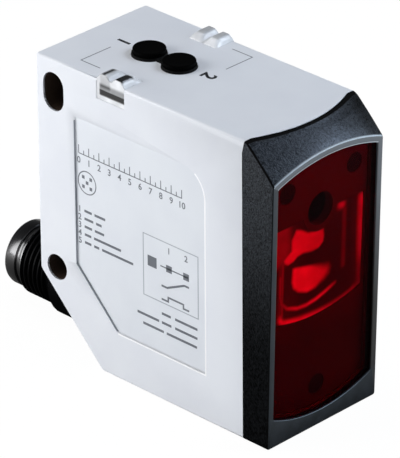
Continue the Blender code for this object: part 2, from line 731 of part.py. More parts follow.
def make_mask():
    """Dark plate behind the window, open for the lens, the emitter and the screws."""
    mask = slab("optics_mask", [window_outline(MASK_INSET)], FACE, -MASK_FAR, -MASK_NEAR)
    opening = slab("lens_opening", [lens_outline(LENS_HALF + FIT, LENS_BOTTOM - FIT, LENS_TOP + FIT,
                                                 LENS_ARC + FIT)],
                   FACE, -MASK_FAR - OVERRUN, OVERRUN)
    cut(opening, emitter_rod("mask_tab", TUBE_RADIUS))
    cut(mask, opening, emitter_rod("mask_emitter_hole", EMITTER_HOLE / 2))
    for place in screw_places():
        cut(mask,
            screw_cutter("mask_head_hole", place, SCREW_HEAD / 2 + FIT, 0,
                         MASK_NEAR + SCREW_HEAD_HEIGHT + 2 * FIT),
            screw_cutter("mask_shank_hole", place, SCREW_SHANK / 2 + FIT, 0, MASK_FAR + OVERRUN))
    paint(mask, (0.016, 0.014, 0.015), 0.5)


def make_screws():
    """Small screws, their heads sunk in the mask."""
    top = -MASK_NEAR - FIT
    under = top - SCREW_HEAD_HEIGHT
    profile = [(0, top), (SCREW_HEAD / 2, top), (SCREW_HEAD / 2, under), (SCREW_SHANK / 2, under),
               (SCREW_SHANK / 2, under - SCREW_LENGTH), (0, under - SCREW_LENGTH)]
    for number, place in enumerate(screw_places(), start=1):
        screw = turned(f"mask_screw_{number}", profile, place, SMALL_SIDES)
        paint(screw, (0.30, 0.30, 0.31), 0.35, metallic=1.0)


def emitter_rod(name, radius, back=None):
    """Round bar along the emitter's axis, from before the front to a back end."""
    back = BLOCK_BACK + OVERRUN if back is None else back
    return rod(name, (0, FRONT_Y - BEZEL_DEPTH, EMITTER_Z), (0, back, EMITTER_Z), radius, ROUND_SIDES)


def make_optics_block():
    """Carrier with a flange on the bezel's web, a light chamber and a tube for the laser."""
    block = slab("optics_block", [window_outline(MASK_INSET)], FRONT, -(WEB_Y - FIT), -FRONT_Y + BEZEL_DEPTH)
    join(block, slab("block_body", [window_outline(BLOCK_INSET)], FRONT,
                     -BLOCK_BACK, -(WEB_Y - FIT - FLANGE_THICK / 3)))
    room = WELL_WALL + FIT
    chamber = lens_outline(WELL_HALF + room, LENS_BOTTOM + WELL_RISE - room, LENS_TOP, WELL_ARC + room)
    cut(block, slab("light_chamber", [chamber], FRONT, -(BLOCK_BACK - BLOCK_BACK_WALL), -FRONT_Y + WIDTH))
    join(block, emitter_rod("laser_tube", TUBE_RADIUS, BLOCK_BACK - BLOCK_BACK_WALL / 2))
    slot = rectangle((-SENSOR_WIDTH / 2 - SEAT, SENSOR_Z - SENSOR_HEIGHT / 2 - SEAT),
                     (SENSOR_WIDTH / 2 + SEAT, SENSOR_Z + SENSOR_HEIGHT / 2 + SEAT))
    pocket_half = HALF_WIDTH - RIM - BLOCK_INSET - POCKET_WALL
    pocket_low = SCREW_ABOVE_BASE + SCREW_SHANK / 2 + POCKET_WALL
    pocket = rounded_rectangle((-pocket_half, pocket_low), (pocket_half, LENS_BOTTOM - POCKET_WALL / 2),
                               SKIRT_CORNER)
    wide = rectangle((-WIDTH, -WIDTH), (WIDTH, HEIGHT + WIDTH))
    cut(block,
        slab("block_front", [wide], FACE, -FLANGE_NEAR, WIDTH),
        emitter_rod("laser_bore", BORE_RADIUS),
        slab("sensor_slot", [slot], FRONT, -BLOCK_BACK - OVERRUN, -BLOCK_BACK + BLOCK_BACK_WALL + OVERRUN),
        slab("block_pocket", [pocket], FRONT, -BLOCK_BACK - OVERRUN, -SEAM_Y))
    for place in screw_places():
        cut(block, screw_cutter("screw_pilot", place, SCREW_SHANK / 2 + FIT, 0,
                                MASK_NEAR + SCREW_HEAD_HEIGHT + SCREW_LENGTH + SEAT))
    paint(block, (0.018, 0.018, 0.019), 0.55)


def make_lens():
    """Clear receiver lens: a flange in the mask, a well and a shallow dome."""
    near = MASK_NEAR + FIT
    floor = FLANGE_NEAR - FIT
    lens = slab("receiver_lens", [lens_outline(LENS_HALF, LENS_BOTTOM, LENS_TOP, LENS_ARC)], FACE,
                -MASK_FAR, -near)
    bottom = LENS_BOTTOM + WELL_RISE
    top = LENS_TOP - WELL_RISE
    body = lens_outline(WELL_HALF + WELL_WALL, bottom - WELL_WALL, top + WELL_WALL, WELL_ARC + WELL_WALL)
    well = lens_outline(WELL_HALF, bottom, top, WELL_ARC)
    join(lens, slab("lens_body", [body], FACE, -(floor + LENS_FLOOR), -(near + MASK_THICK / 3)))
    cut(lens, slab("lens_well", [well], FACE, -floor, OVERRUN))
    sphere = arc_radius(DOME_RADIUS, DOME_RISE)
    sweep = math.asin(DOME_RADIUS / sphere)
    dome = arc((0, DOME_RISE - sphere), sphere, math.pi / 2, math.pi / 2 - sweep, DOME_STEPS)
    sunk = -LENS_FLOOR / 2
    dome += [(DOME_RADIUS, sunk), (0, sunk)]
    join(lens, turned("lens_dome", dome, face_spot(0, SENSOR_Z) @ Matrix.Translation((0, 0, -floor)),
                      ROUND_SIDES))
    cut(lens, emitter_rod("lens_notch", TUBE_RADIUS + FIT))
    paint(lens, (0.85, 0.87, 0.88), 0.04, clear=1.0)


def make_emitter():
    """Laser diode and its small lens in a turned barrel."""
    outer = BARREL_DIAMETER / 2
    seat = outer - BARREL_WALL
    throat = DIODE_CAP_DIAMETER / 2 + FIT
    lens_depth = BARREL_LENGTH / 6
    diode_depth = BARREL_LENGTH / 5
    socket = DIODE_DIAMETER / 2 + FIT
    profile = [(outer, BARREL_LENGTH), (outer, 0), (socket, 0), (socket, diode_depth),
               (throat, diode_depth), (throat, BARREL_LENGTH - lens_depth),
               (seat, BARREL_LENGTH - lens_depth), (seat, BARREL_LENGTH)]
    forward = along((0, BARREL_BACK, EMITTER_Z), (0, -1, 0))
    barrel = turned("laser_barrel", profile, forward, ROUND_SIDES, ring=True)
    paint(barrel, (0.62, 0.42, 0.16), 0.3, metallic=1.0)
    lens_low = BARREL_LENGTH - lens_depth + FIT
    radius = seat - FIT
    rise = lens_depth / 3
    sphere = arc_radius(radius, rise)
    crest = BARREL_LENGTH - FIT
    sweep = math.asin(radius / sphere)
    dome = arc((0, crest - sphere), sphere, math.pi / 2, math.pi / 2 - sweep, DOME_STEPS)
    lens = turned("emitter_lens", dome + [(radius, lens_low), (0, lens_low)], forward, ROUND_SIDES)
    paint(lens, (0.85, 0.87, 0.88), 0.04, clear=1.0)
    flange = diode_depth - FIT
    cap = DIODE_CAP_DIAMETER / 2
    can = [(0, 2 * diode_depth), (cap, 2 * diode_depth), (cap, flange), (DIODE_DIAMETER / 2, flange),
           (DIODE_DIAMETER / 2, diode_depth / 3), (0, diode_depth / 3)]
    diode = turned("laser_diode", can, forward, ROUND_SIDES)
    reach = BARREL_BACK - RECEIVER_BOARD_Y + FIT
    for i in range(3):
        turn = 2 * math.pi * i / 3
        offset = Vector((math.cos(turn), math.sin(turn), 0)) * DIODE_PIN_CIRCLE
        join(diode, rod("diode_pin", forward @ (offset + Vector((0, 0, reach))),
                        forward @ (offset + Vector((0, 0, diode_depth / 2))), DIODE_PIN_RADIUS,
                        PIN_SIDES))
    paint(diode, (0.65, 0.55, 0.35), 0.3, metallic=1.0)


def make_receiver():
    """Receiver chip in the slot behind the chamber, on its board."""
    half = SENSOR_WIDTH / 2
    chip = box("receiver_chip",
               (-half, BLOCK_BACK - SENSOR_THICK, SENSOR_Z - SENSOR_HEIGHT / 2),
               (half, BLOCK_BACK, SENSOR_Z + SENSOR_HEIGHT / 2))
    paint(chip, (0.04, 0.04, 0.05), 0.2)
    board_half = HALF_WIDTH - RIM - BLOCK_INSET - SEAT
    outline = rounded_rectangle((-board_half, LENS_BOTTOM), (board_half, EMITTER_Z + TUBE_RADIUS),
                                SKIRT_CORNER)
    board = slab("receiver_board", [outline], FRONT, -RECEIVER_BOARD_BACK, -RECEIVER_BOARD_Y)
    paint(board, (0.010, 0.12, 0.045), 0.45)
    x0 = BOARD_INNER - FIT - FLEX_THICK - FLEX_BEND
    y0 = RECEIVER_BOARD_BACK + FIT + FLEX_THICK + FLEX_BEND
    bend = (x0, y0)
    outer = arc(bend, FLEX_BEND + FLEX_THICK, -math.pi / 2, 0, ARC_STEPS)
    inner = arc(bend, FLEX_BEND, 0, -math.pi / 2, ARC_STEPS)
    run = FLEX_HEIGHT / 2
    strip = ([(x0 - run, outer[0][1])] + outer + [(outer[-1][0], y0 + run), (inner[0][0], y0 + run)]
             + inner + [(x0 - run, inner[-1][1])])
    middle = (LENS_BOTTOM + EMITTER_Z) / 2
    flex = slab("flex_link", [strip], PLAN, middle - FLEX_HEIGHT / 2, middle + FLEX_HEIGHT / 2)
    paint(flex, (0.35, 0.15, 0.03), 0.4)


def main_board_outline():
    """Board along the right wall, with a corner cut for the 45 degree face."""
    low = WALL + SEAT
    back = HOLE_Y - max(BOSS_RADIUS, SLOT_BOSS_RADIUS) - SEAT
    offset = BACK_Y - CHAMFER_LENGTH - (WALL + SEAT) * math.sqrt(2)
    high = BUTTON_BOARD_BOTTOM - SEAT
    return [(BOARD_FRONT, low), (offset + low, low), (back, back - offset), (back, high),
            (BOARD_FRONT, high)]


def socket_place():
    """Middle of the lead socket on the main board, in side view."""
    return BOARD_FRONT + SOCKET_FROM_FRONT, CHAMFER_LENGTH + SOCKET_SIZE / 2


def make_main_board():
    """Main board with its chips and the socket for the leads."""
    board = slab("main_board", [main_board_outline()], SIDE, BOARD_INNER, BOARD_OUTER)
    paint(board, (0.010, 0.12, 0.045), 0.45)
    face = BOARD_INNER - FIT
    socket_y, socket_z = socket_place()
    chip_y = BOARD_FRONT + CHIP_EDGE + LARGE_CHIP_SIZE / 2
    top = BUTTON_BOARD_BOTTOM - SEAT - CHIP_EDGE
    below = top - LARGE_CHIP_SIZE - CHIP_GAP
    beside = SOCKET_SIZE / 2 + CHIP_GAP + SMALL_CHIP_SIZE / 2
    under = socket_z - SOCKET_SIZE / 2 - CHIP_GAP - LOWER_CHIP_SIZE / 2
    chips = [(chip_y, top - LARGE_CHIP_SIZE / 2, LARGE_CHIP_SIZE),
             (chip_y, below - MIDDLE_CHIP_SIZE / 2, MIDDLE_CHIP_SIZE),
             (socket_y + beside, socket_z + SOCKET_SIZE / 2, SMALL_CHIP_SIZE),
             (socket_y - SOCKET_SIZE, under, LOWER_CHIP_SIZE)]
    for number, (y, z, size) in enumerate(chips, start=1):
        chip = box(f"board_chip_{number}", (face - CHIP_THICK, y - size / 2, z - size / 2),
                   (face, y + size / 2, z + size / 2))
        paint(chip, BLACK, 0.5)
    half = SOCKET_SIZE / 2
    socket = box("lead_socket", (face - SOCKET_DEPTH, socket_y - half, socket_z - half),
                 (face, socket_y + half, socket_z + half))
    round_edges(socket, SOCKET_ROUND)
    paint(socket, WHITE, 0.5)


def lead_route():
    """Points of the bundle from the swivel to the socket, on one cubic curve."""
    socket_y, socket_z = socket_place()
    end = Vector((BOARD_INNER - FIT - SOCKET_DEPTH - SEAT, socket_y, socket_z))
    start = on_swivel(-WALL / 2)
    knots = [start, start - SWIVEL_OUT * CHAMFER_LENGTH / 2, end - Vector((HALF_WIDTH / 2, 0, 0)), end]
    points = []
    for i in range(LEAD_POINTS):
        t = i / (LEAD_POINTS - 1)
        points.append(knots[0] * (1 - t) ** 3 + knots[1] * 3 * t * (1 - t) ** 2
                      + knots[2] * 3 * t * t * (1 - t) + knots[3] * t ** 3)
    return points


def make_leads():
    """Five leads that run side by side from the swivel to the main board."""
    route = lead_route()
    colours = {"brown": BROWN, "white": WHITE, "blue": BLUE, "black": BLACK, "grey": GREY}
    for i, (name, colour) in enumerate(colours.items()):
        turn = 2 * math.pi * i / len(colours)
        curve = bpy.data.curves.new("lead_" + name, "CURVE")
        curve.dimensions = "3D"
        curve.bevel_depth = LEAD_RADIUS
        curve.bevel_resolution = 2
        curve.use_fill_caps = True
        spline = curve.splines.new("POLY")
        spline.points.add(len(route) - 1)
        for j, point in enumerate(spline.points):
            ahead = route[min(j + 1, len(route) - 1)] - route[max(j - 1, 0)]
            side = ahead.cross(Vector((0, 1, 1))).normalized()
            up = side.cross(ahead).normalized()
            place = route[j] + (side * math.cos(turn) + up * math.sin(turn)) * LEAD_CIRCLE
            point.co = (*place, 1)
        lead = add("lead_" + name, curve, Matrix.Identity(4))
        paint(lead, colour, 0.5)


def make_button_board():
    """Small board under the roof with both key switches and the indicator lights."""
    half = INNER_HALF - SEAT
    reach = BUTTON_PITCH / 2 + SWITCH_SIZE
    board = slab("button_board", [rectangle((-half, PANEL_Y - reach), (half, PANEL_Y + reach))], PLAN,
                 BUTTON_BOARD_BOTTOM, BUTTON_BOARD_TOP)
    paint(board, (0.010, 0.12, 0.045), 0.45)
    half = SWITCH_SIZE / 2
    hole_bottom = PLUNGER_TOP - PLUNGER_HEIGHT - PRESS_TRAVEL - FIT
    for number, y in enumerate(BUTTON_Y, start=1):
        body = box(f"switch_body_{number}", (-half, y - half, SWITCH_BOTTOM), (half, y + half, SWITCH_TOP))
        cut(body, rod("plunger_hole", (0, y, hole_bottom), (0, y, SWITCH_TOP + OVERRUN),
                      PLUNGER_RADIUS + RUNNING, SMALL_SIDES))
        paint(body, (0.10, 0.10, 0.11), 0.5)
    led_x = HALF_WIDTH - GUIDE_REACH / 2 - LED_DEPTH
    led_y = GUIDE_WIDTH / 4
    spots = [(side * led_x, PANEL_Y + step * led_y) for side in (-1, 1) for step in (1, -1)]
    for number, (x, y) in enumerate(spots, start=1):
        led = box(f"indicator_led_{number}", (x - LED_DEPTH / 2, y - LED_WIDTH / 2, LED_TOP - LED_HEIGHT),
                  (x + LED_DEPTH / 2, y + LED_WIDTH / 2, LED_TOP))
        paint(led, (0.75, 0.72, 0.55), 0.3)


def make_buttons():
    """Rubber mat through the roof, with a cap and a switch plunger at each button."""
    margin = COLLAR_RADIUS + MAT_MARGIN
    plate = rounded_rectangle((-margin, BUTTON_Y[1] - margin), (margin, BUTTON_Y[0] + margin), margin / 2)
    mat = slab("button_mat", [plate], PLAN, MAT_BOTTOM, MAT_TOP)
    low = MAT_BOTTOM + MAT_THICK / 2
    high = HEIGHT + COLLAR_RISE
    for y in BUTTON_Y:
        join(mat, rod("mat_collar", (0, y, low), (0, y, high), COLLAR_RADIUS, FINE_SIDES))
    join(mat, box("mat_bridge", (-BRIDGE_WIDTH / 2, BUTTON_Y[1], low),
                  (BRIDGE_WIDTH / 2, BUTTON_Y[0], high - COLLAR_RISE / 4)))
    for y in BUTTON_Y:
        cut(mat, rod("mat_hole", (0, y, MAT_BOTTOM - OVERRUN), (0, y, high + OVERRUN),
                     CAP_RADIUS + FIT, FINE_SIDES))
    paint(mat, BLACK, 0.7)
    top = HEIGHT + CAP_RISE
    cap_profile = [(0, top), (CAP_RADIUS - CAP_BEVEL, top), (CAP_RADIUS, top - CAP_BEVEL),
                   (CAP_RADIUS, CAP_BOTTOM), (0, CAP_BOTTOM)]
    plunger_profile = [(0, PLUNGER_TOP), (PLUNGER_RADIUS, PLUNGER_TOP),
                       (PLUNGER_RADIUS, PLUNGER_TOP - PLUNGER_HEIGHT), (0, PLUNGER_TOP - PLUNGER_HEIGHT)]
    for number, y in enumerate(BUTTON_Y, start=1):
        place = Matrix.Translation((0, y, 0))
        cap = turned(f"button_cap_{number}", cap_profile, place, FINE_SIDES)
        paint(cap, (0.006, 0.006, 0.007), 0.55)
        plunger = turned(f"switch_plunger_{number}", plunger_profile, place, SMALL_SIDES)
        paint(plunger, (0.25, 0.05, 0.04), 0.5)


def make_guides():
    """Clear light guides in the top edges, each with two raised lobes."""
    lobe = (GUIDE_WIDTH - GUIDE_GROOVE) / 2 - FIT
    for side, name in ((-1, "left"), (1, "right")):
        ends = sorted([side * (HALF_WIDTH - GUIDE_REACH + FIT), side * (HALF_WIDTH - FIT)])
        front = PANEL_Y - GUIDE_WIDTH / 2 + FIT
        back = PANEL_Y + GUIDE_WIDTH / 2 - FIT
        guide = box("indicator_guide_" + name, (ends[0], front, GUIDE_BOTTOM),
                    (ends[1], back, HEIGHT - FIT))
        round_edges(guide, FIT)
        for low in (front + LOBE_INSET, back - lobe - LOBE_INSET):
            hump = box("guide_lobe", (ends[0] + LOBE_INSET, low, HEIGHT - GUIDE_RISE),
                       (ends[1] - LOBE_INSET, low + lobe, HEIGHT + GUIDE_RISE))
            round_edges(hump, LOBE_ROUND)
            join(guide, hump)
        paint(guide, (0.85, 0.88, 0.90), 0.08, clear=0.9)


def make_swivel(pivot):
    """Mitred elbow that turns in the 45 degree face, with its seal and retaining ring."""
    outward = along(PLUG_TIP, (0, 1, 0))
    collar_front = -(SLEEVE_SHOULDER + FIT)
    collar_back = PLUG_KNEE.y - PLUG_TIP.y - CHAMFER_LENGTH
    profile = [(0, collar_front), (COLLAR_OUTER - COLLAR_BEVEL, collar_front),
               (COLLAR_OUTER, collar_front - COLLAR_BEVEL), (COLLAR_OUTER, collar_back), (0, collar_back)]
    elbow = turned("swivel_elbow", profile, outward, FINE_SIDES)
    wide = rectangle((-HEIGHT, -HEIGHT), (HEIGHT, HEIGHT))
    cut(elbow,
        slab("mitre", [wide], along(SWIVEL_FOOT, SWIVEL_OUT), -HEIGHT, ELBOW_GAP),
        slab("base_flat", [wide], along(PLUG_KNEE, (0, 0, 1)), -HEIGHT, -THREAD_RADIUS))
    inner = SPIGOT_RADIUS - RING_GROOVE
    seal_root = SPIGOT_RADIUS - SEAL_CORD
    seal_low = -(SEAL_DEPTH + SEAL_CORD + 2 * FIT)
    ring_high = -(RING_NEAR - FIT)
    ring_low = -(RING_NEAR + RING_THICK + FIT)
    spigot = [(0, ELBOW_GAP + WALL / 3), (SPIGOT_RADIUS, ELBOW_GAP + WALL / 3), (SPIGOT_RADIUS, -SEAL_DEPTH),
              (seal_root, -SEAL_DEPTH), (seal_root, seal_low), (SPIGOT_RADIUS, seal_low),
              (SPIGOT_RADIUS, ring_high), (inner, ring_high), (inner, ring_low), (SPIGOT_RADIUS, ring_low),
              (SPIGOT_RADIUS, -SPIGOT_LENGTH), (0, -SPIGOT_LENGTH)]
    join(elbow, turned("spigot", spigot, along(SWIVEL_FOOT, SWIVEL_OUT), FINE_SIDES))
    socket_end = PLUG_TIP - Vector((0, SLEEVE_LENGTH + FIT, 0))
    cut(elbow,
        rod("sleeve_seat", socket_end, PLUG_TIP, TAIL_RADIUS + FIT, FINE_SIDES),
        rod("lead_bore", on_swivel(-SPIGOT_LENGTH - OVERRUN), PLUG_KNEE + SWIVEL_OUT * SPIGOT_BORE / 3,
            SPIGOT_BORE, SMALL_SIDES),
        rod("lead_passage", PLUG_KNEE - Vector((0, SPIGOT_BORE / 3, 0)),
            socket_end + Vector((0, OVERRUN, 0)), SPIGOT_BORE - FIT, SMALL_SIDES))
    paint(elbow, BLACK, 0.45)
    cord = SEAL_CORD / 2
    middle = SPIGOT_RADIUS - cord + FIT / 2
    turn = 2 * math.pi / SEAL_SIDES
    section = arc((middle, (seal_low - SEAL_DEPTH) / 2), cord, math.pi / 2, turn - 1.5 * math.pi,
                  SEAL_SIDES - 1)
    seal = turned("swivel_seal", section, along(SWIVEL_FOOT, SWIVEL_OUT), FINE_SIDES, ring=True)
    paint(seal, BLACK, 0.7)
    flat = [(RING_OUTER, -RING_NEAR), (RING_OUTER, -RING_NEAR - RING_THICK),
            (RING_INNER, -RING_NEAR - RING_THICK), (RING_INNER, -RING_NEAR)]
    ring = turned("retaining_ring", flat, along(SWIVEL_FOOT, SWIVEL_OUT), FINE_SIDES, ring=True)
    slot = rectangle((-RING_SLOT / 2, 0), (RING_SLOT / 2, 2 * RING_OUTER))
    cut(ring, slab("ring_slot", [slot], along(SWIVEL_FOOT, SWIVEL_OUT), -SPIGOT_LENGTH - OVERRUN, 0))
    paint(ring, (0.45, 0.45, 0.46), 0.3, metallic=1.0)
    for moving in (elbow, seal, ring):
        carry(moving, pivot)


def make_plug(pivot):
    """M12 sleeve with the insulating insert and five pins."""
    outward = along(PLUG_TIP, (0, 1, 0))
    tip = SOCKET_RADIUS + TIP_WALL
    relief = THREAD_RADIUS - THREAD_DEPTH
    groove = tip - TIP_GROOVE
    profile = [(tip - TIP_BEVEL, 0), (tip, -TIP_BEVEL), (tip, -TIP_LENGTH), (groove, -TIP_LENGTH),
               (groove, -THREAD_START), (relief, -THREAD_START),
               (THREAD_RADIUS, -THREAD_START - THREAD_DEPTH), (THREAD_RADIUS, -THREAD_END + THREAD_DEPTH),
               (relief, -THREAD_END), (relief, -SLEEVE_SHOULDER), (TAIL_RADIUS, -SLEEVE_SHOULDER),
               (TAIL_RADIUS, -SLEEVE_LENGTH), (SOCKET_RADIUS, -SLEEVE_LENGTH), (SOCKET_RADIUS, 0)]
    sleeve = turned("thread_sleeve", profile, outward, FINE_SIDES, ring=True)
    paint(sleeve, (0.015, 0.015, 0.016), 0.35)
    disc = [(0, -INSERT_FROM_TIP), (INSERT_RADIUS, -INSERT_FROM_TIP), (INSERT_RADIUS, -INSERT_END),
            (0, -INSERT_END)]
    insert = turned("contact_insert", disc, outward, FINE_SIDES)
    key_top = PLUG_TIP + Vector((0, -PIN_FROM_TIP, INSERT_RADIUS))
    join(insert, box("coding_key",
                     (-KEY_WIDTH / 2, PLUG_TIP.y - INSERT_FROM_TIP - KEY_HEIGHT,
                      key_top.z - KEY_HEIGHT - KEY_WIDTH / 4),
                     (KEY_WIDTH / 2, key_top.y, key_top.z - KEY_WIDTH / 4)))
    spots = [(0, 0)] + [(PIN_CIRCLE * math.cos(a), PIN_CIRCLE * math.sin(a))
                        for a in (math.pi / 4 + i * math.pi / 2 for i in range(4))]
    for number, (x, y) in enumerate(spots, start=1):
        root = outward @ Vector((x, y, -INSERT_END - PIN_TAIL))
        crest = outward @ Vector((x, y, -PIN_FROM_TIP))
        pin = rod(f"contact_pin_{number}", root, crest, PIN_RADIUS, PIN_SIDES)
        paint(pin, (0.85, 0.62, 0.25), 0.25, metallic=1.0)
        carry(pin, pivot)
        cut(insert, rod("pin_hole", root - Vector((0, OVERRUN, 0)), crest, PIN_RADIUS + FIT / 2, PIN_SIDES))
    paint(insert, BLACK, 0.5)
    for moving in (sleeve, insert):
        carry(moving, pivot)


def carry(moving, pivot):
    """Hang a piece on an empty without moving it."""
    moving.parent = pivot
    moving.matrix_parent_inverse = pivot.matrix_world.inverted()


def make_pivot():
    """Empty on the swivel's axis, in the middle of the 45 degree face."""
    pivot = add("swivel_axis", None, along(SWIVEL_FOOT, SWIVEL_OUT))
    bpy.context.view_layer.update()
    return pivot


def main():
    """Build every piece."""
    make_housing()
    make_sleeves()
    make_bezel()
    make_front_seals()
    make_window()
    make_label()
    make_mask()
    make_screws()
    make_optics_block()
    make_lens()
    make_emitter()
    make_receiver()
    make_main_board()
    make_leads()
    make_button_board()
    make_buttons()
    make_guides()
    pivot = make_pivot()
    make_swivel(pivot)
    make_plug(pivot)


main()
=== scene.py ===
"""Compact photoelectric sensor with a swivelling plug, dressed for its portrait.

Shapes are worked out in millimetres and stored in metres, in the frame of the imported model. The optical face
looks along -Y and the plug leaves along +Y.
"""

import math

import bmesh
import bpy
import numpy as np
from mathutils import Euler, Matrix, Vector


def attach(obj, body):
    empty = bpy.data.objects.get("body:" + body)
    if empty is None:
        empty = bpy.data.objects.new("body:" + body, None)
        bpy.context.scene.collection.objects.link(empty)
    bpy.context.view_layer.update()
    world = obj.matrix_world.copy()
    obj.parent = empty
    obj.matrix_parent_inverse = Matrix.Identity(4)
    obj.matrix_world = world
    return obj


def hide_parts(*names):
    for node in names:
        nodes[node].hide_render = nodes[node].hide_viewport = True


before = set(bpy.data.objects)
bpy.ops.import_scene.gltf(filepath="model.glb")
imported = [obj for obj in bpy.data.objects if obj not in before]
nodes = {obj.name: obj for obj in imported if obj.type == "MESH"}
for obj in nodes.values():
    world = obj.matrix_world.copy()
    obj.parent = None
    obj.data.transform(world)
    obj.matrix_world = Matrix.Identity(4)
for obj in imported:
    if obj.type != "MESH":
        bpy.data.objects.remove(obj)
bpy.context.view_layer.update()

MM = 0.001
TURN = 2 * math.pi

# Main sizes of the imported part, in millimetres
HALF_WIDTH = 11.8
HEIGHT = 50.0
BACK_Y = 24.25
SEAM_Y = -19.25
LEAN = math.tan(math.radians(1.35))


def front_y(z):
    """Front plane of the bezel: it leans forward with height."""
    return -BACK_Y - z * LEAN


# Colours and nodes

# Most values of a noise lie between the first two, and nearly all of them between the last two
NOISE_LOW, NOISE_HIGH = 0.35, 0.65
NOISE_FLOOR, NOISE_CEILING = 0.3, 0.7
# How many times as much a painted sheen varies with the grain as the gloss does
MOTTLE = 5


def linear(colour):
    """Linear RGBA of an sRGB hex value, by the sRGB transfer curve."""
    channels = np.array([int(colour[i:i + 2], 16) for i in (0, 2, 4)]) / 255
    curve = np.where(channels <= 0.04045, channels / 12.92, ((channels + 0.055) / 1.055) ** 2.4)
    return (*curve.tolist(), 1.0)


def add(tree, kind, inputs=None, **settings):
    """One shader node with its settings.

    inputs maps socket names or numbers to constants, to sockets or to nodes, of which the first output is
    meant. Map Range takes its value as 0, the range it comes from as 1 and 2, and the range it goes to as 3
    and 4. A mix takes its share as 0, then two numbers as 2 and 3 or two colours as 6 and 7.
    """
    node = tree.nodes.new("ShaderNode" + kind)
    for name, value in settings.items():
        setattr(node, name, value)
    for key, value in (inputs or {}).items():
        if isinstance(value, bpy.types.Node):
            value = value.outputs[0]
        if isinstance(value, bpy.types.NodeSocket):
            tree.links.new(value, node.inputs[key])
        else:
            node.inputs[key].default_value = value
    return node


def new_material(name):
    """Empty node material: itself, its tree and its Object coordinates."""
    material = bpy.data.materials.new(name)
    material.use_nodes = True
    tree = material.node_tree
    tree.nodes.clear()
    return material, tree, add(tree, "TexCoord").outputs["Object"]


def toned_body(tree, share, dark, light, inputs):
    """Ends a material with a body of these inputs, whose colour is mixed from two shades by a share."""
    tone = add(tree, "Mix", {0: share, 6: linear(dark), 7: linear(light)}, data_type="RGBA")
    body = add(tree, "BsdfPrincipled", {"Base Color": tone.outputs[2], **inputs})
    add(tree, "OutputMaterial", {"Surface": body})


def per_metre(size_mm):
    """Noise scale for a grain of this width, on Object coordinates in metres."""
    return 1 / (size_mm * MM)


def moulded(name, dark, light, rough, grain_mm, depth_mm, cloud_mm=9.0, spread=0.06, level=0.5, ior=1.5,
            glance="FFFFFF"):
    """Moulded plastic: eroded-tool grain as bump and gloss, and a slow drift of tone between two shades.

    Where no level of reflection is given, each point's painted sheen gives it, mottled by the grain.
    """
    material, tree, where = new_material(name)
    cloud = add(tree, "TexNoise", {"Vector": where, "Scale": per_metre(cloud_mm), "Detail": 3.0})
    grain = add(tree, "TexNoise",
                {"Vector": where, "Scale": per_metre(grain_mm), "Detail": 2.0, "Roughness": 0.6})
    drift = add(tree, "MapRange", {0: cloud, 1: NOISE_LOW, 2: NOISE_HIGH})
    both = add(tree, "Math", {0: grain, 1: cloud}, operation="ADD")
    both_range = {0: both, 1: 2 * NOISE_LOW, 2: 2 * NOISE_HIGH}
    gloss = add(tree, "MapRange", {**both_range, 3: rough - spread, 4: rough + spread})
    bump = add(tree, "Bump", {"Height": grain, "Distance": depth_mm * MM, "Strength": 1.0})
    if level is None:
        painted_sheen = add(tree, "Attribute", attribute_name="painted_sheen")
        mottle = add(tree, "MapRange", {**both_range, 3: 1 - MOTTLE * spread, 4: 1 + MOTTLE * spread})
        level = add(tree, "Math", {0: painted_sheen.outputs["Fac"], 1: mottle}, operation="MULTIPLY")
    toned_body(tree, drift, dark, light,
               {"Roughness": gloss, "Normal": bump, "Specular IOR Level": level, "IOR": ior,
                "Specular Tint": linear(glance)})
    return material


def metal(name, dark, light, rough, line_mm, depth_mm, spread=0.08):
    """Turned or stamped metal: tone and gloss drift along fine tool lines."""
    material, tree, where = new_material(name)
    lines = add(tree, "TexNoise", {"Vector": where, "Scale": per_metre(line_mm), "Detail": 4.0})
    gloss = add(tree, "MapRange",
                {0: lines, 1: NOISE_FLOOR, 2: NOISE_CEILING, 3: rough - spread, 4: rough + spread})
    bump = add(tree, "Bump", {"Height": lines, "Distance": depth_mm * MM, "Strength": 1.0})
    toned_body(tree, lines, dark, light, {"Roughness": gloss, "Normal": bump, "Metallic": 1.0})
    return material


def clear_moulding(name, tint, shade, rough, ior, level, ripple_mm=3.0):
    """Transparent plastic: it refracts, tints the light it lets through, and ripples a little in gloss."""
    material, tree, where = new_material(name)
    ripple = add(tree, "TexNoise", {"Vector": where, "Scale": per_metre(ripple_mm), "Detail": 1.0})
    gloss = add(tree, "MapRange",
                {0: ripple, 1: NOISE_FLOOR, 2: NOISE_CEILING, 3: rough * 0.6, 4: rough * 1.4})
    glass = add(tree, "BsdfPrincipled",
                {"Base Color": linear(tint), "Roughness": gloss, "Transmission Weight": 1.0, "IOR": ior,
                 "Specular IOR Level": level})
    open_way = add(tree, "BsdfTransparent", {"Color": linear(shade)})
    shadow = add(tree, "LightPath").outputs["Is Shadow Ray"]
    mixed = add(tree, "MixShader", {0: shadow, 1: glass, 2: open_way})
    add(tree, "OutputMaterial", {"Surface": mixed})
    return material


def toned_moulding(name, dark, light, rough, level, cloud_mm=2.5):
    """Clear moulding painted dark or light by where it would send the light.

    Its tone follows the glow of its points, painted light and shade, under a faint veil.
    """
    material, tree, where = new_material(name)
    cloud = add(tree, "TexNoise", {"Vector": where, "Scale": per_metre(cloud_mm), "Detail": 2.0})
    veil = add(tree, "MapRange", {0: cloud, 1: NOISE_FLOOR, 2: NOISE_CEILING, 3: 0.75, 4: 1.0})
    glow = add(tree, "Attribute", attribute_name="glow")
    share = add(tree, "Math", {0: glow.outputs["Fac"], 1: veil}, operation="MULTIPLY")
    toned_body(tree, share, dark, light, {"Roughness": rough, "Specular IOR Level": level})
    return material


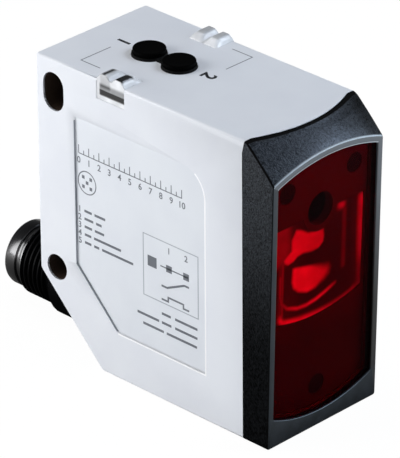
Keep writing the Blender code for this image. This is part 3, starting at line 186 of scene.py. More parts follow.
def graded_moulding(name, low, high, start_mm, end_mm, rough, level, cloud_mm=9.0, drift=0.15):
    """Moulding whose tone climbs between two heights, with a slow drift."""
    material, tree, where = new_material(name)
    height = add(tree, "SeparateXYZ", {0: where}).outputs["Z"]
    climb = add(tree, "MapRange", {0: height, 1: start_mm * MM, 2: end_mm * MM})
    cloud = add(tree, "TexNoise", {"Vector": where, "Scale": per_metre(cloud_mm), "Detail": 3.0})
    change = add(tree, "MapRange", {0: cloud, 1: NOISE_LOW, 2: NOISE_HIGH, 3: -drift, 4: drift})
    share = add(tree, "Math", {0: climb, 1: change}, operation="ADD")
    toned_body(tree, share, low, high, {"Roughness": rough, "Specular IOR Level": level})
    return material


# Meshes

MERGE_DISTANCE = 2e-7
FLAT_FACE_WEIGHT = 90
# Buttons: places along Y, and how what surrounds them is drawn in to fit their narrower caps
BUTTON_PLACES = (11.4, 5.1)
BUTTON_REACH = 3.15
BUTTON_SHARE = 0.93
BUTTON_SHIFT = (-0.42, -0.12)
ROOF_UNDERSIDE = 46.5


def ramp(value, start, end):
    """Smooth step from 0 at start to 1 at end."""
    t = np.clip((value - start) / (end - start), 0, 1)
    return t * t * (3 - 2 * t)


def bell(value, width):
    """Bell curve: 1 where the value is 0, falling off over a width to both sides."""
    return np.exp(-(value / width) ** 2)


def unit(v):
    """Vectors of length one."""
    return v / np.linalg.norm(v, axis=-1, keepdims=True)


def skin(name, points, ring=False, loop=False, caps=(False, False)):
    """Mesh over a grid of points (rows, columns, xyz in mm): one quad per cell.

    ring joins the last column to the first, loop joins the last row to the first, and caps close the first
    and last rows with a fan round their middle. A mesh whose signed volume is negative is turned round.
    """
    rows, columns = points.shape[:2]
    index = np.arange(rows * columns).reshape(rows, columns)
    if ring:
        index = np.concatenate([index, index[:, :1]], axis=1)
    if loop:
        index = np.concatenate([index, index[:1]], axis=0)
    quads = np.stack([index[:-1, :-1], index[:-1, 1:], index[1:, 1:], index[1:, :-1]], axis=-1).reshape(-1, 4)
    places = points.reshape(-1, 3)
    fans = np.zeros((0, 3), int)
    for row, wanted, step in ((0, caps[0], -1), (rows - 1, caps[1], 1)):
        if wanted:
            middle = np.full(index.shape[1] - 1, len(places))
            places = np.concatenate([places, points[row].mean(axis=0, keepdims=True)])
            edge = np.stack([index[row, :-1], index[row, 1:]], axis=-1)[:, ::step]
            fans = np.concatenate([fans, np.column_stack([edge, middle])])
    corners = np.concatenate([quads[:, [0, 1, 2]], quads[:, [0, 2, 3]], fans])
    a, b, c = places[corners[:, 0]], places[corners[:, 1]], places[corners[:, 2]]
    if np.einsum("ij,ij->i", a, np.cross(b, c)).sum() < 0:
        quads = quads[:, ::-1]
        fans = fans[:, ::-1]
    mesh = bpy.data.meshes.new(name)
    mesh.from_pydata((places * MM).tolist(), [], quads.tolist() + fans.tolist())
    mesh.update()
    return mesh


def set_points(mesh, name, values):
    """Stores one value for each point of a mesh, for its material to read."""
    mesh.attributes.new(name, "FLOAT", "POINT").data.foreach_set("value", np.ravel(values))


def new_object(name, data):
    """Object with this data, in the scene."""
    thing = bpy.data.objects.new(name, data)
    bpy.context.scene.collection.objects.link(thing)
    return thing


def place(name, mesh, body, material, replaced=(), crease=35):
    """Puts a mesh in the scene as a piece that rides on a body, smooth up to a crease angle in degrees."""
    mesh.shade_smooth()
    mesh.set_sharp_from_angle(angle=math.radians(crease))
    mesh.materials.clear()
    mesh.materials.append(material)
    piece = new_object(name, mesh)
    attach(piece, body)
    if replaced:
        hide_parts(*replaced)
    return piece


def draw_in(mesh):
    """Fits what surrounds the buttons to them.

    The way of each near point from a button's upright axis becomes a share of itself, plus a shift.
    """
    flat = np.empty(3 * len(mesh.vertices))
    mesh.vertices.foreach_get("co", flat)
    points = flat.reshape(-1, 3) / MM
    for y in BUTTON_PLACES:
        away = points[:, :2] - (0, y)
        near = (np.linalg.norm(away, axis=1) < BUTTON_REACH) & (points[:, 2] > ROOF_UNDERSIDE)
        points[near, :2] += (BUTTON_SHARE - 1) * away[near] + BUTTON_SHIFT
    mesh.vertices.foreach_set("co", (points * MM).ravel())


def smooth_copy(node, body, material, crease=30):
    """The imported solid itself, with its loose triangles merged so that its rounds shade smoothly."""
    mesh = nodes[node].data.copy()
    work = bmesh.new()
    work.from_mesh(mesh)
    bmesh.ops.remove_doubles(work, verts=work.verts, dist=MERGE_DISTANCE)
    work.to_mesh(mesh)
    work.free()
    draw_in(mesh)
    piece = place(node + "_shell", mesh, body, material, (node,), crease)
    normals = piece.modifiers.new("flat_faces_stay_flat", "WEIGHTED_NORMAL")
    normals.keep_sharp = True
    normals.weight = FLAT_FACE_WEIGHT


# Materials

# White housing: soft satin with a barely seen grain, so its faces keep a clean edge against the light
WHITE_ABS = moulded("white_abs_satin_moulded", "E0E3E8", "E4E7EB", 0.46, 0.30, 0.004, level=0.30)
# Edge of the label's recess at the front and below: a painted highlight, drawn as a fine line that is whiter
# than the side
PAINTED_EDGE_HIGHLIGHT = moulded("painted_white_edge_highlight", "FCFDFE", "FFFFFF", 0.50, 0.40, 0.001, level=0.30)
# Label: a shade cooler and smoother than the housing round it
FOIL = moulded("satin_polyester_foil", "DCE0E5", "E0E4E8", 0.42, 0.40, 0.002, level=0.30)
# Print: flat greys that neither shine nor stand out. The pale grey is also the painted shade on the label
# recess's wall
INK = moulded("black_printing_ink", "1C1E21", "26282C", 0.60, 0.20, 0.001, level=0.15)
GREY_INK = moulded("grey_printing_ink", "6C7076", "787C82", 0.60, 0.20, 0.001, level=0.15)
PALE_INK_AND_PAINTED_SHADE = moulded("pale_grey_ink_and_painted_shade", "A0A5AC", "AAAFB6", 0.60, 0.20, 0.001, level=0.15)
# Bezel: black with a sparkling eroded grain, slate grey where the light glances off it, with painted sheen:
# its strength of reflection is set point by point. The grain is drawn coarser than a real one so that it shows
BLACK_GRAIN = moulded("black_polyamide_grained", "040404", "101112", 0.42, 0.25, 0.10, 0.45, 0.14, level=None,
                      glance="D4E2F4")
# Edges of the bezel: painted shade, matt and dark, so that they draw its outline
PAINTED_SHADE_EDGE = moulded("black_polyamide_painted_shade_edge", "030303", "050505", 0.65, 0.30, 0.004, level=0.06)
# Rim round the window: the same black plastic polished by its tool, so its edges catch thin lights
RIM_BLACK = moulded("black_polyamide_satin_rim", "101214", "1A1C1F", 0.34, 0.25, 0.006, 2.2, 0.06, level=0.9,
                    glance="CFE2F2")
# Rim at the right: painted sheen, drawn dark near the sill and as grey as the arch at its top
RIM_RIGHT_PAINTED_SHEEN = graded_moulding("black_polyamide_painted_sheen_side", "050607", "4A5258", 16.0, 40.0, 0.34, 0.8)
# Arch of the rim: painted sheen in a mid grey, with painted highlights as thin pale lines along its outer and
# inner edge
RIM_ARCH_PAINTED_SHEEN = moulded("black_polyamide_painted_sheen_arch", "464E54", "4E565C", 0.34, 0.25, 0.004, level=0.8)
RIM_PAINTED_HIGHLIGHT = moulded("black_polyamide_painted_highlight_edge", "848F98", "929DA6", 0.30, 0.25, 0.002, level=0.8)
RIM_PAINTED_INNER_HIGHLIGHT = moulded("black_polyamide_painted_highlight_inner_edge", "BEC2C6", "CCD0D4", 0.34, 0.25, 0.002, level=0.5)
# Plug: deep black that hardly shines, with a glossy lead-in ring that carries the one long light, a painted
# highlight
PLUG_BLACK = moulded("black_polyamide_satin", "040405", "070708", 0.36, 0.30, 0.002, level=0.04)
PLUG_GLOSS = moulded("black_polyamide_glossy", "040405", "070708", 0.18, 0.30, 0.002, spread=0.02, level=None)
# Seals and mat: dull black that loses its form in shadow
RUBBER = moulded("black_silicone_rubber", "040404", "060606", 0.60, 0.25, 0.006, level=0.10)
# Button caps: the deepest black of the part, with no more than a breath of light at the edge
BUTTON = moulded("black_button_rubber", "020202", "030303", 0.55, 0.25, 0.006, ior=1.07)
# Window: clear deep red, seen through rather than seen
WINDOW = clear_moulding("red_acrylic_polished", "EC0A4C", "F40C4E", 0.01, 1.06, 0.5)
# Ledge and seal behind the window: matt black that shows as dark red through it
OPTICS = moulded("matt_black_optics_plastic", "2A2727", "322E2E", 0.70, 0.30, 0.010, level=0.15)
# Mask behind the window: a dull dark red field, with painted shade one shade deeper below the lens than above
# it
MASK_PAINTED_SHADE = graded_moulding("matt_black_mask_painted_shade", "1C1A1A", "302C2C", 15.0, 22.0, 0.70, 0.15)
# Emitter, mask screws and optics block: black that swallows the red light
BARREL = moulded("black_anodised_barrel", "050505", "090909", 0.50, 0.20, 0.003, level=0.04)
# Receiver lens: painted light and shade, dark where it looks into the chamber, bright where its facets throw
# the light back
LENS_PAINTED_LIGHT = toned_moulding("moulded_acrylic_lens_painted_light", "080808", "F8F8F8", 0.35, 0.12)
# Light guides: painted light and shade, bright as ice, with painted black streaks where they show the dark
# under them
GUIDE_PAINTED_LIGHT = toned_moulding("clear_polycarbonate_guide_painted_light", "050607", "F6F8FA", 0.14, 0.5)
# Retaining ring: plain bright steel
STEEL = metal("bright_screw_steel", "8C8C8E", "B0B0B2", 0.32, 0.15, 0.004)
# Sleeves of the screw holes: brown black, a little lighter where the day falls in
DARK_STEEL = moulded("brown_phosphated_steel", "382C24", "46382E", 0.55, 0.20, 0.006, level=0.30)
# Turned metal of the laser: warm and bright
BRASS = metal("turned_brass", "B08A45", "C8A25A", 0.32, 0.15, 0.003)
# Pins: clean gold
GOLD = metal("gold_plated_contact", "D9A441", "F0C060", 0.22, 0.20, 0.001)
# Boards: green lacquer over glass cloth, and black lacquer under the light guides
BOARD = moulded("green_solder_mask", "0B4A26", "11602F", 0.35, 0.50, 0.004)
BLACK_BOARD = moulded("black_solder_mask", "050606", "090A0A", 0.45, 0.50, 0.004, level=0.2)
# Chips: dull black resin with a fine stipple
CHIP = moulded("black_epoxy_package", "141414", "1C1C1C", 0.55, 0.12, 0.008)
# Flat cable: amber film
FLEX = moulded("amber_polyimide_film", "8A5510", "A8691A", 0.25, 0.60, 0.002)
# Lead socket: warm white nylon
SOCKET = moulded("white_nylon_socket", "D2D0C6", "E2E0D8", 0.50, 0.30, 0.005)
# Switches: mid grey with a red plunger
SWITCH = moulded("grey_switch_housing", "4A4A4D", "5A5A5E", 0.50, 0.25, 0.006)
PLUNGER = moulded("red_switch_plunger", "7A2A22", "8C332A", 0.45, 0.25, 0.004)
# Light sources: yellowish resin
LED = moulded("clear_led_resin", "8A8674", "9A9684", 0.20, 0.40, 0.002)
# Leads: soft sleeves in the five usual colours
LEAD_TONES = {
    "brown": ("5A3418", "6A3E1E"), "white": ("D8D8D4", "E6E6E2"), "blue": ("1E3F94", "274CAA"),
    "black": ("121212", "1B1B1B"), "grey": ("7C7C7E", "8C8C8E"),
}

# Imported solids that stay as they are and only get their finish: single ones, numbered ones, leads
FINISHES = {
    "front_window": WINDOW, "optics_mask": MASK_PAINTED_SHADE, "optics_block": BARREL, "label_plate": FOIL,
    "window_seal": OPTICS, "bezel_seal": RUBBER, "swivel_seal": RUBBER, "retaining_ring": STEEL,
    "laser_barrel": BARREL, "laser_diode": BRASS, "emitter_lens": BARREL, "main_board": BOARD,
    "receiver_board": BOARD, "button_board": BLACK_BOARD, "receiver_chip": CHIP, "flex_link": FLEX,
    "lead_socket": SOCKET, "screw_sleeve_round": DARK_STEEL, "screw_sleeve_slot": DARK_STEEL,
    "contact_insert": PLUG_BLACK,
}
NUMBERED = {
    "board_chip": (CHIP, 4), "mask_screw": (BARREL, 3), "indicator_led": (LED, 4), "switch_body": (SWITCH, 2),
    "switch_plunger": (PLUNGER, 2), "contact_pin": (GOLD, 5),
}
for stem, (material, count) in NUMBERED.items():
    FINISHES.update({f"{stem}_{i + 1}": material for i in range(count)})
for colour, shades in LEAD_TONES.items():
    FINISHES[f"lead_{colour}"] = moulded(f"{colour}_lead_insulation", *shades, 0.45, 0.30, 0.004)
for node, material in FINISHES.items():
    nodes[node].data.materials.clear()
    nodes[node].data.materials.append(material)

smooth_copy("housing", "sensor", WHITE_ABS)
smooth_copy("button_mat", "sensor", RUBBER)
smooth_copy("swivel_elbow", "plug", PLUG_BLACK)


# Bezel

def arc_radius(half_chord, rise):
    """Radius of the arc with this half chord and rise."""
    return (half_chord ** 2 + rise ** 2) / (2 * rise)


# Arch over the window, slope with its crown that rolls over to the roof, and gap to the roof's arc
ARCH_TOP = 46.70
ARCH_SIDE = 44.46
ARCH_RADIUS = arc_radius(HALF_WIDTH, ARCH_TOP - ARCH_SIDE)
SLOPE_SHARE = 0.6
SLOPE_BOW = 0.08
CROWN_PITCH = math.radians(45.5)
CROWN_TOP_Y = -22.005
CROWN_REACH = 2.255
CROWN_ROUND = 2.2
CROWN_RADIUS = arc_radius(HALF_WIDTH, CROWN_REACH * math.sin(CROWN_PITCH))
GAP_HALF = 10.3
GAP_REACH = 2.35
GAP_RADIUS = arc_radius(GAP_HALF, GAP_REACH)
SEAM = 0.03
# Upright walls: how they lap over the housing's edge, and stand proud of it over these shares of their depth
WALL_LAP = 0.28
WALL_LAP_RISE = 0.13
WALL_LAP_END = 0.96
WALL_PROUD = 0.015
WALL_PROUD_SHARES = (0.8, 0.93)
# Window opening: rim, sill, lip in front of the pane, and ledge behind it
RIM = 0.9
SILL_HEIGHT = 2.33
SILL_RADIUS = 26.0
LIP = 0.18
LIP_BACK = 0.34
OPENING_BACK = 1.9
LEDGE = 0.7
LEDGE_BACK = 4.0
# Skirt in the housing's mouth
SKIRT_HALF = 9.85
SKIRT_LOW = 1.95
SKIRT_HIGH = 48.05
SKIRT_LENGTH = 3.0
SKIRT_WALL = 0.9
SHOULDER = 1.2
# Rounded edges: inside and outside of the rim, and at the seam
INNER_ROUND = 0.18
OUTER_ROUND = 0.26
SEAM_ROUND = 0.10
ROUND_STEPS = 5
# Grid: columns on the four sides and in the corners between them, rows on the walls as shares of their depth
BOTTOM, RIGHT, TOP, LEFT = range(4)
INWARD = np.array([(0, 0, 1), (-1, 0, 0), (0, 0, -1), (1, 0, 0)], float)
SPAN_LENGTH = (2 * HALF_WIDTH, ARCH_SIDE, 2 * HALF_WIDTH, ARCH_SIDE)
SPAN_COUNTS = (24, 32, 48, 32)
CORNER_CUT = 0.35
BEND_STEPS = 4
RIGHT_START = SPAN_COUNTS[BOTTOM] + BEND_STEPS
TOP_START = RIGHT_START + SPAN_COUNTS[RIGHT] + BEND_STEPS
TOP_END = TOP_START + SPAN_COUNTS[TOP]
ROLL_SHARE = 0.78
SEAM_SHARE = 0.95
WALL_SHARES = (0.1, 0.2, 0.3, 0.4, 0.5, SLOPE_SHARE, 0.66, 0.72, ROLL_SHARE, 0.84, 0.9, SEAM_SHARE)
# Shares that give the directions of the walls where they leave the rim and where they reach the seam
RIM_WALL_SHARE = 0.2
SEAM_WALL_SHARE = 0.97


def sag(x, radius):
    """How far an arc of this radius has dropped at x from its crest."""
    return radius - np.sqrt(radius ** 2 - x ** 2)


def on_side(side, u):
    """Place on one of the four sides, anticlockwise by u from 0 to 1: across from -1 to 1, up from 0 to 1."""
    across = (2 * u - 1, np.ones_like(u), 1 - 2 * u, -np.ones_like(u))
    up = (np.zeros_like(u), u, np.ones_like(u), 1 - u)
    return across[side], up[side]


def window_span(side, u, inset=0.0, depth=0.0):
    """One side of the window opening: arcs below and above, upright sides."""
    across, up = on_side(side, u)
    x = (HALF_WIDTH - RIM - inset) * across
    low = SILL_HEIGHT + inset + sag(x, SILL_RADIUS - inset)
    high = ARCH_TOP - RIM - inset - sag(x, ARCH_RADIUS - RIM - inset)
    z = low + (high - low) * up
    return np.stack([x, front_y(z) + depth, z], axis=-1)


def front_span(side, u):
    """One side of the bezel's front outline: straight base and sides, arched top."""
    across, up = on_side(side, u)
    x = HALF_WIDTH * across
    z = (ARCH_TOP - sag(x, ARCH_RADIUS)) * up
    return np.stack([x, front_y(z), z], axis=-1)


def crown_path(x, share):
    """The bezel's top at x, from the arch at share 0 to the roof's gap at share 1, as y and z.

    Up to the slope's share it is the slope, bowed out a little by a parabola. Above that the same pitch rolls
    off along a circle to the roof's level, by length along it, and runs on level to the gap where the circle
    ends before it.
    """
    forward = sag(x, CROWN_RADIUS) / math.sin(CROWN_PITCH)
    centre = CROWN_TOP_Y + forward + CROWN_ROUND * math.tan(CROWN_PITCH / 2)
    gap = np.where(np.abs(x) < GAP_HALF, SEAM_Y - SEAM - GAP_REACH + sag(x, GAP_RADIUS), SEAM_Y - SEAM)
    foot_z = ARCH_TOP - sag(x, ARCH_RADIUS)
    last = np.arcsin(np.clip((centre - gap) / CROWN_ROUND, 0, math.sin(CROWN_PITCH)))
    bent = CROWN_ROUND * (CROWN_PITCH - last)
    level = np.maximum(gap - centre, 0)
    run = max(share - SLOPE_SHARE, 0) / (1 - SLOPE_SHARE) * (bent + level)
    angle = np.maximum(CROWN_PITCH - run / CROWN_ROUND, last)
    on_slope = min(share / SLOPE_SHARE, 1)
    y = centre - CROWN_ROUND * np.sin(angle) + np.maximum(run - bent, 0)
    z = HEIGHT - CROWN_ROUND * (1 - np.cos(angle))
    bow = SLOPE_BOW * 4 * on_slope * (1 - on_slope)
    return (front_y(foot_z) * (1 - on_slope) + y * on_slope - bow * math.sin(CROWN_PITCH),
            foot_z * (1 - on_slope) + z * on_slope + bow * math.cos(CROWN_PITCH))


def wall_span(side, u, share):
    """One side of the bezel's walls between its front outline at share 0 and the seam at share 1.

    The upright walls lap over the housing's edge by a length that grows with height and ends below the roof.
    """
    upright = side in (RIGHT, LEFT)
    across, up = on_side(side, u)
    x = (HALF_WIDTH + upright * WALL_PROUD * ramp(share, *WALL_PROUD_SHARES)) * across
    low_y = front_y(0) * (1 - share) + (SEAM_Y - SEAM) * share
    high_y, high_z = crown_path(x, share)
    lap = upright * share * (WALL_LAP + WALL_LAP_RISE * up) * ramp(up, 1.0, WALL_LAP_END)
    return np.stack([x, low_y + (high_y - low_y) * up + lap, high_z * up], axis=-1)


def skirt_span(side, u, inset, y):
    """One side of the skirt's rectangle in the housing's mouth."""
    across, up = on_side(side, u)
    low, high = SKIRT_LOW + inset, SKIRT_HIGH - inset
    return np.stack([(SKIRT_HALF - inset) * across, np.full_like(u, y), low + (high - low) * up], axis=-1)


def lip_edge(side, u, t):
    """Round from the lip to the flat of the rim."""
    return window_span(side, u, LIP - INNER_ROUND * t ** 2, INNER_ROUND * (1 - t) ** 2)


def rim_edge(side, u, t):
    """Round from the flat of the rim to the wall."""
    edge = front_span(side, u)
    flat = unit(window_span(side, u) - edge)
    wall = unit(wall_span(side, u, RIM_WALL_SHARE) - edge)
    return edge + OUTER_ROUND * ((1 - t) ** 2 * flat + t ** 2 * wall)


def seam_edge(side, u, t):
    """Round from the wall into the seam."""
    seam = wall_span(side, u, 1.0)
    way = unit(seam - wall_span(side, u, SEAM_WALL_SHARE))
    return seam + SEAM_ROUND * (t ** 2 * INWARD[side] - (1 - t) ** 2 * way)


def shoulder_span(side, u):
    """Inner end of the face in the seam."""
    return wall_span(side, u, 1.0) + SHOULDER * INWARD[side]


def ring_of(span, *sizes):
    """Closed ring from the four sides of a span of these sizes.

    Each corner is rounded by a parabola between points a cut away from it.
    """
    t = (np.arange(BEND_STEPS) + 1)[:, None] / (BEND_STEPS + 1)
    runs = []
    for side in (BOTTOM, RIGHT, TOP, LEFT):
        trim = CORNER_CUT / SPAN_LENGTH[side]
        runs.append(span(side, np.linspace(trim, 1 - trim, SPAN_COUNTS[side]), *sizes))
    ring = []
    for side, here in enumerate(runs):
        after = runs[(side + 1) % len(runs)]
        tip = span(side, np.array([1.0]), *sizes)
        ring += [here, (1 - t) ** 2 * here[-1:] + 2 * t * (1 - t) * tip + t ** 2 * after[:1]]
    return np.concatenate(ring)


def bezel_rows():
    """Rings of the bezel, from the opening over rim and walls to the seam, and round the skirt to the ledge.

    Each round is a parabola: its corner plus the two directions it joins, times (1-t) squared and t squared.
    The marks are the numbers of the rings where lip, walls, rolled edge, seam and skirt begin.
    """
    steps = np.linspace(0, 1, ROUND_STEPS)
    rows = [ring_of(window_span, inset, depth)
            for inset, depth in ((0, OPENING_BACK), (0, LIP_BACK), (LIP, LIP_BACK))]
    marks = {"lip": len(rows) - 1}
    rows += [ring_of(lip_edge, t) for t in steps]
    rows += [ring_of(rim_edge, t) for t in steps]
    marks["wall"] = len(rows) - 1
    marks["roll"] = len(rows) + WALL_SHARES.index(ROLL_SHARE)
    marks["seam"] = len(rows) + WALL_SHARES.index(SEAM_SHARE)
    rows += [ring_of(wall_span, share) for share in WALL_SHARES]
    rows += [ring_of(seam_edge, t) for t in steps]
    marks["skirt"] = len(rows)
    rows.append(ring_of(shoulder_span))
    rows += [ring_of(skirt_span, inset, y)
             for inset, y in ((0, SEAM_Y - SEAM), (0, SEAM_Y + SKIRT_LENGTH),
                              (SKIRT_WALL, SEAM_Y + SKIRT_LENGTH), (SKIRT_WALL, SEAM_Y - SKIRT_WALL))]
    rows += [ring_of(window_span, LEDGE, depth) for depth in (LEDGE_BACK, OPENING_BACK)]
    return np.stack(rows), marks


# Finishes of the bezel and their numbers: grain, rim, matt edges and seam of painted shade, ledge, the arch's
# outer edge, flat and inner edge of painted highlight and sheen, and the rim at the right of painted sheen
BEZEL_FINISHES = (BLACK_GRAIN, RIM_BLACK, PAINTED_SHADE_EDGE, OPTICS, RIM_PAINTED_HIGHLIGHT, RIM_ARCH_PAINTED_SHEEN, RIM_PAINTED_INNER_HIGHLIGHT, RIM_RIGHT_PAINTED_SHEEN)
GRAIN, FLAT, SHADE_EDGE, BEHIND, ARCH_OUTER_HIGHLIGHT, ARCH_SHEEN, ARCH_INNER_HIGHLIGHT, RIGHT_SHEEN = range(len(BEZEL_FINISHES))
# Columns by which the arch's painted sheen runs into its corners, rows and columns of a matt edge of painted
# shade
ARCH_OVERRUN = 2
EDGE_ROWS = 2
EDGE_COLUMNS = 3
# Painted sheen of the slope at its left and at its right, by the share of the way up
LEFT_CLIMB = ((0.1, 0.4, 1.0), (1.3, 1.0, 0.95))
RIGHT_CLIMB = ((0.1, 0.25, 0.4, 0.7, 0.85, 1.0, 1.2), (1.6, 1.25, 1.0, 0.8, 0.5, 0.6, 0.9))


def bezel_finish(shape, marks):
    """Number of each face's finish, by the ring and the column where the face starts."""
    lip, wall, roll, seam, skirt = (marks[name] for name in ("lip", "wall", "roll", "seam", "skirt"))
    arch = slice(TOP_START - ARCH_OVERRUN, TOP_END + ARCH_OVERRUN)
    finish = np.full(shape, GRAIN, np.int32)
    finish[lip:wall] = FLAT
    # Painted sheen on the rim at the right
    finish[lip:wall, RIGHT_START:arch.start] = RIGHT_SHEEN
    # Painted sheen on the arch's flat, and painted highlights along its inner and outer edge
    finish[lip + ROUND_STEPS:wall, arch] = ARCH_SHEEN
    finish[lip + 1:lip + ROUND_STEPS, arch] = ARCH_INNER_HIGHLIGHT
    finish[wall - 1 - EDGE_ROWS:wall - 1, arch] = ARCH_OUTER_HIGHLIGHT
    # Painted shade: matt dark strips along the rim's outer edge, the slope's corners, its rolled top and the
    # seam
    finish[wall - EDGE_ROWS:wall, :RIGHT_START] = SHADE_EDGE
    finish[wall - EDGE_ROWS:wall, TOP_END:] = SHADE_EDGE
    for bend in (TOP_START - BEND_STEPS, TOP_END):
        finish[wall:roll, bend:bend + EDGE_COLUMNS] = SHADE_EDGE
    finish[roll:seam, arch] = SHADE_EDGE
    finish[seam:skirt] = SHADE_EDGE
    finish[-1] = BEHIND
    return finish


def bezel_polish(points, marks):
    """Painted sheen of the bezel: how much each point shines, set by its place.

    The slope shines by a bell curve across it, which fades at its right end and changes on the way up. The
    walls shine by a smooth step with height.
    """
    x, z = points[..., 0], points[..., 2]
    first = marks["wall"] + 1
    share = np.ones(len(points))
    share[:first] = 0
    share[first:first + len(WALL_SHARES)] = WALL_SHARES
    left, right = (np.interp(share / SLOPE_SHARE, *climb)[:, None] for climb in (LEFT_CLIMB, RIGHT_CLIMB))
    across = (0.42 + 0.43 * bell(x - 1.5, 4.2)) * (1 - 0.65 * ramp(x, 7.5, 10.5))
    slope = across * (left + (right - left) * ramp(x, -6, 2))
    column = np.arange(points.shape[1])
    on_top = (column >= TOP_START) & (column < TOP_END)
    return np.where(on_top, slope, 0.06 + 0.36 * ramp(z, 14, 40))


rings, ring_marks = bezel_rows()
bezel_mesh = skin("bezel_frame", rings, ring=True, loop=True)
place("bezel_frame", bezel_mesh, "sensor", BEZEL_FINISHES[GRAIN], ("front_bezel",))
for material in BEZEL_FINISHES[1:]:
    bezel_mesh.materials.append(material)
bezel_mesh.polygons.foreach_set("material_index", bezel_finish(rings.shape[:2], ring_marks).ravel())
set_points(bezel_mesh, "painted_sheen", bezel_polish(rings, ring_marks))

# Plug: its axis and tip, then radii and distances behind the tip

PLUG_Z = 6.0
PLUG_TIP_Y = 39.35
BORE = 4.2
TIP_RADIUS = 5.05
TIP_ROUND = 0.4
THREAD_ROOT = 5.35
THREAD_DEPTH = 0.60
THREAD_PITCH = 1.0
THREAD_START = 3.0
THREAD_END = 9.8
THREAD_FADE = 0.8
# A tooth before it is cut off at 0 and 1: its height in the middle and its fall over a pitch
TOOTH_HEIGHT = 1.6
TOOTH_FALL = 4.6
# Distance and radius of the lead-in ring's back with the groove behind it, and of the neck and the bore
LEAD_IN = [(2.25, 5.45), (2.4, 5.31), (2.46, 5.15), (2.94, 5.15)]
NECK = [(9.86, THREAD_ROOT), (10.64, THREAD_ROOT), (10.7, 5.0), (14.7, 5.0), (14.7, BORE), (0.0, BORE)]
# Length of the glossy part, and angle and width of the long light on it, a painted highlight, in degrees
GLOSS_LENGTH = 4.05
PAINTED_SHINE_ANGLE = 163
PAINTED_SHINE_WIDTH = 34


def sleeve_points(columns=96, tip_rows=6, thread_rows=137):
    """Threaded sleeve turned about the plug's axis: radius by distance s behind the tip and by angle.

    Over the thread the radius is the root plus a trapezoid wave of s minus one pitch per turn, which fades in
    and out over its ends. The last rows return along the bore.
    """
    t = np.linspace(0, 1, tip_rows)
    tip = np.stack([TIP_ROUND * (1 - np.sqrt(1 - t ** 2)), TIP_RADIUS + TIP_ROUND * t], axis=-1)
    thread_s = np.linspace(THREAD_START, THREAD_END, thread_rows)
    thread = np.column_stack([thread_s, np.full(thread_rows, THREAD_ROOT)])
    s, r = np.concatenate([[(0.0, BORE)], tip, LEAD_IN, thread, NECK]).T[..., None]
    angle = np.arange(columns) / columns * TURN
    wave = (s / THREAD_PITCH - angle / TURN) % 1.0
    tooth = np.clip(TOOTH_HEIGHT - TOOTH_FALL * np.abs(wave - 0.5), 0, 1)
    fade = np.clip((s - THREAD_START) / THREAD_FADE, 0, 1) * np.clip((THREAD_END - s) / THREAD_FADE, 0, 1)
    radius = r + THREAD_DEPTH * tooth * fade
    y = np.broadcast_to(PLUG_TIP_Y - s, radius.shape)
    return np.stack([radius * np.cos(angle), y, PLUG_Z + radius * np.sin(angle)], axis=-1)


sleeve = sleeve_points()
sleeve_mesh = skin("thread_sleeve_turned", sleeve, ring=True, loop=True)
place("thread_sleeve_turned", sleeve_mesh, "plug", PLUG_BLACK, ("thread_sleeve",), 40)
sleeve_mesh.materials.append(PLUG_GLOSS)
# The last two rows are the bore, which isn't glossy
glossy = PLUG_TIP_Y - sleeve[..., 1] < GLOSS_LENGTH
glossy[-2:] = False
sleeve_mesh.polygons.foreach_set("material_index", glossy.astype(np.int32).ravel())
# Painted highlight: the reflection is made strong in a stripe at one angle round the lead-in ring
around = np.degrees(np.arctan2(sleeve[..., 2] - PLUG_Z, sleeve[..., 0])) % 360
set_points(sleeve_mesh, "painted_sheen", 0.12 + 1.5 * bell(around - PAINTED_SHINE_ANGLE, PAINTED_SHINE_WIDTH))

# Buttons

# Radius and height from the middle of a cap's dished top over its rounded edge and a fine groove to its foot
CAP_PROFILE = [(0.02, 51.12), (1.4, 51.12), (2.0, 51.14), (2.25, 51.17), (2.44, 51.16), (2.54, 51.11),
               (2.58, 51.02), (2.58, 50.64), (2.50, 50.59), (2.50, 50.50), (2.58, 50.46), (2.58, 48.6),
               (0.02, 48.6)]


def turned_points(profile, columns=72):
    """A profile of (radius, height) carried round the upright axis."""
    r, z = np.array(profile).T[..., None]
    angle = np.arange(columns) / columns * TURN
    return np.stack([r * np.cos(angle), r * np.sin(angle), np.broadcast_to(z, (len(z), columns))], axis=-1)


for number, y in enumerate(BUTTON_PLACES, start=1):
    cap = f"button_cap_turned_{number}"
    cap_points = turned_points(CAP_PROFILE) + (BUTTON_SHIFT[0], y + BUTTON_SHIFT[1], 0)
    cap_mesh = skin(cap, cap_points, ring=True, caps=(True, True))
    place(cap, cap_mesh, f"button_{number}", BUTTON, (f"button_cap_{number}",), 50)

# Light guides

GUIDE_Y = 8.25
GUIDE_OUTER = 11.7
GUIDE_INNER = 7.79
GUIDE_MIDDLE = 48.6
GUIDE_SHOULDER = 49.95
# Half of the section across: side, shoulder, ridge and half of the valley between the two ridges
GUIDE_HALF = np.array([(-2.96, 46.7), (-2.96, GUIDE_SHOULDER), (-2.55, 50.55), (-2.05, 50.98), (-0.95, 50.98),
                       (-0.60, 50.72), (-0.22, 50.22)])
GUIDE_PROFILE = np.concatenate([GUIDE_HALF, GUIDE_HALF[::-1] * (-1, 1)])
# Share of the ridges' height by distance from the middle plane
RIDGE_X = (GUIDE_INNER, 7.84, 8.2, 8.7, 9.4, 11.3, 11.58, GUIDE_OUTER)
RIDGE_SHARES = (0, 0.15, 0.45, 0.8, 1.0, 1.0, 0.93, 0.75)


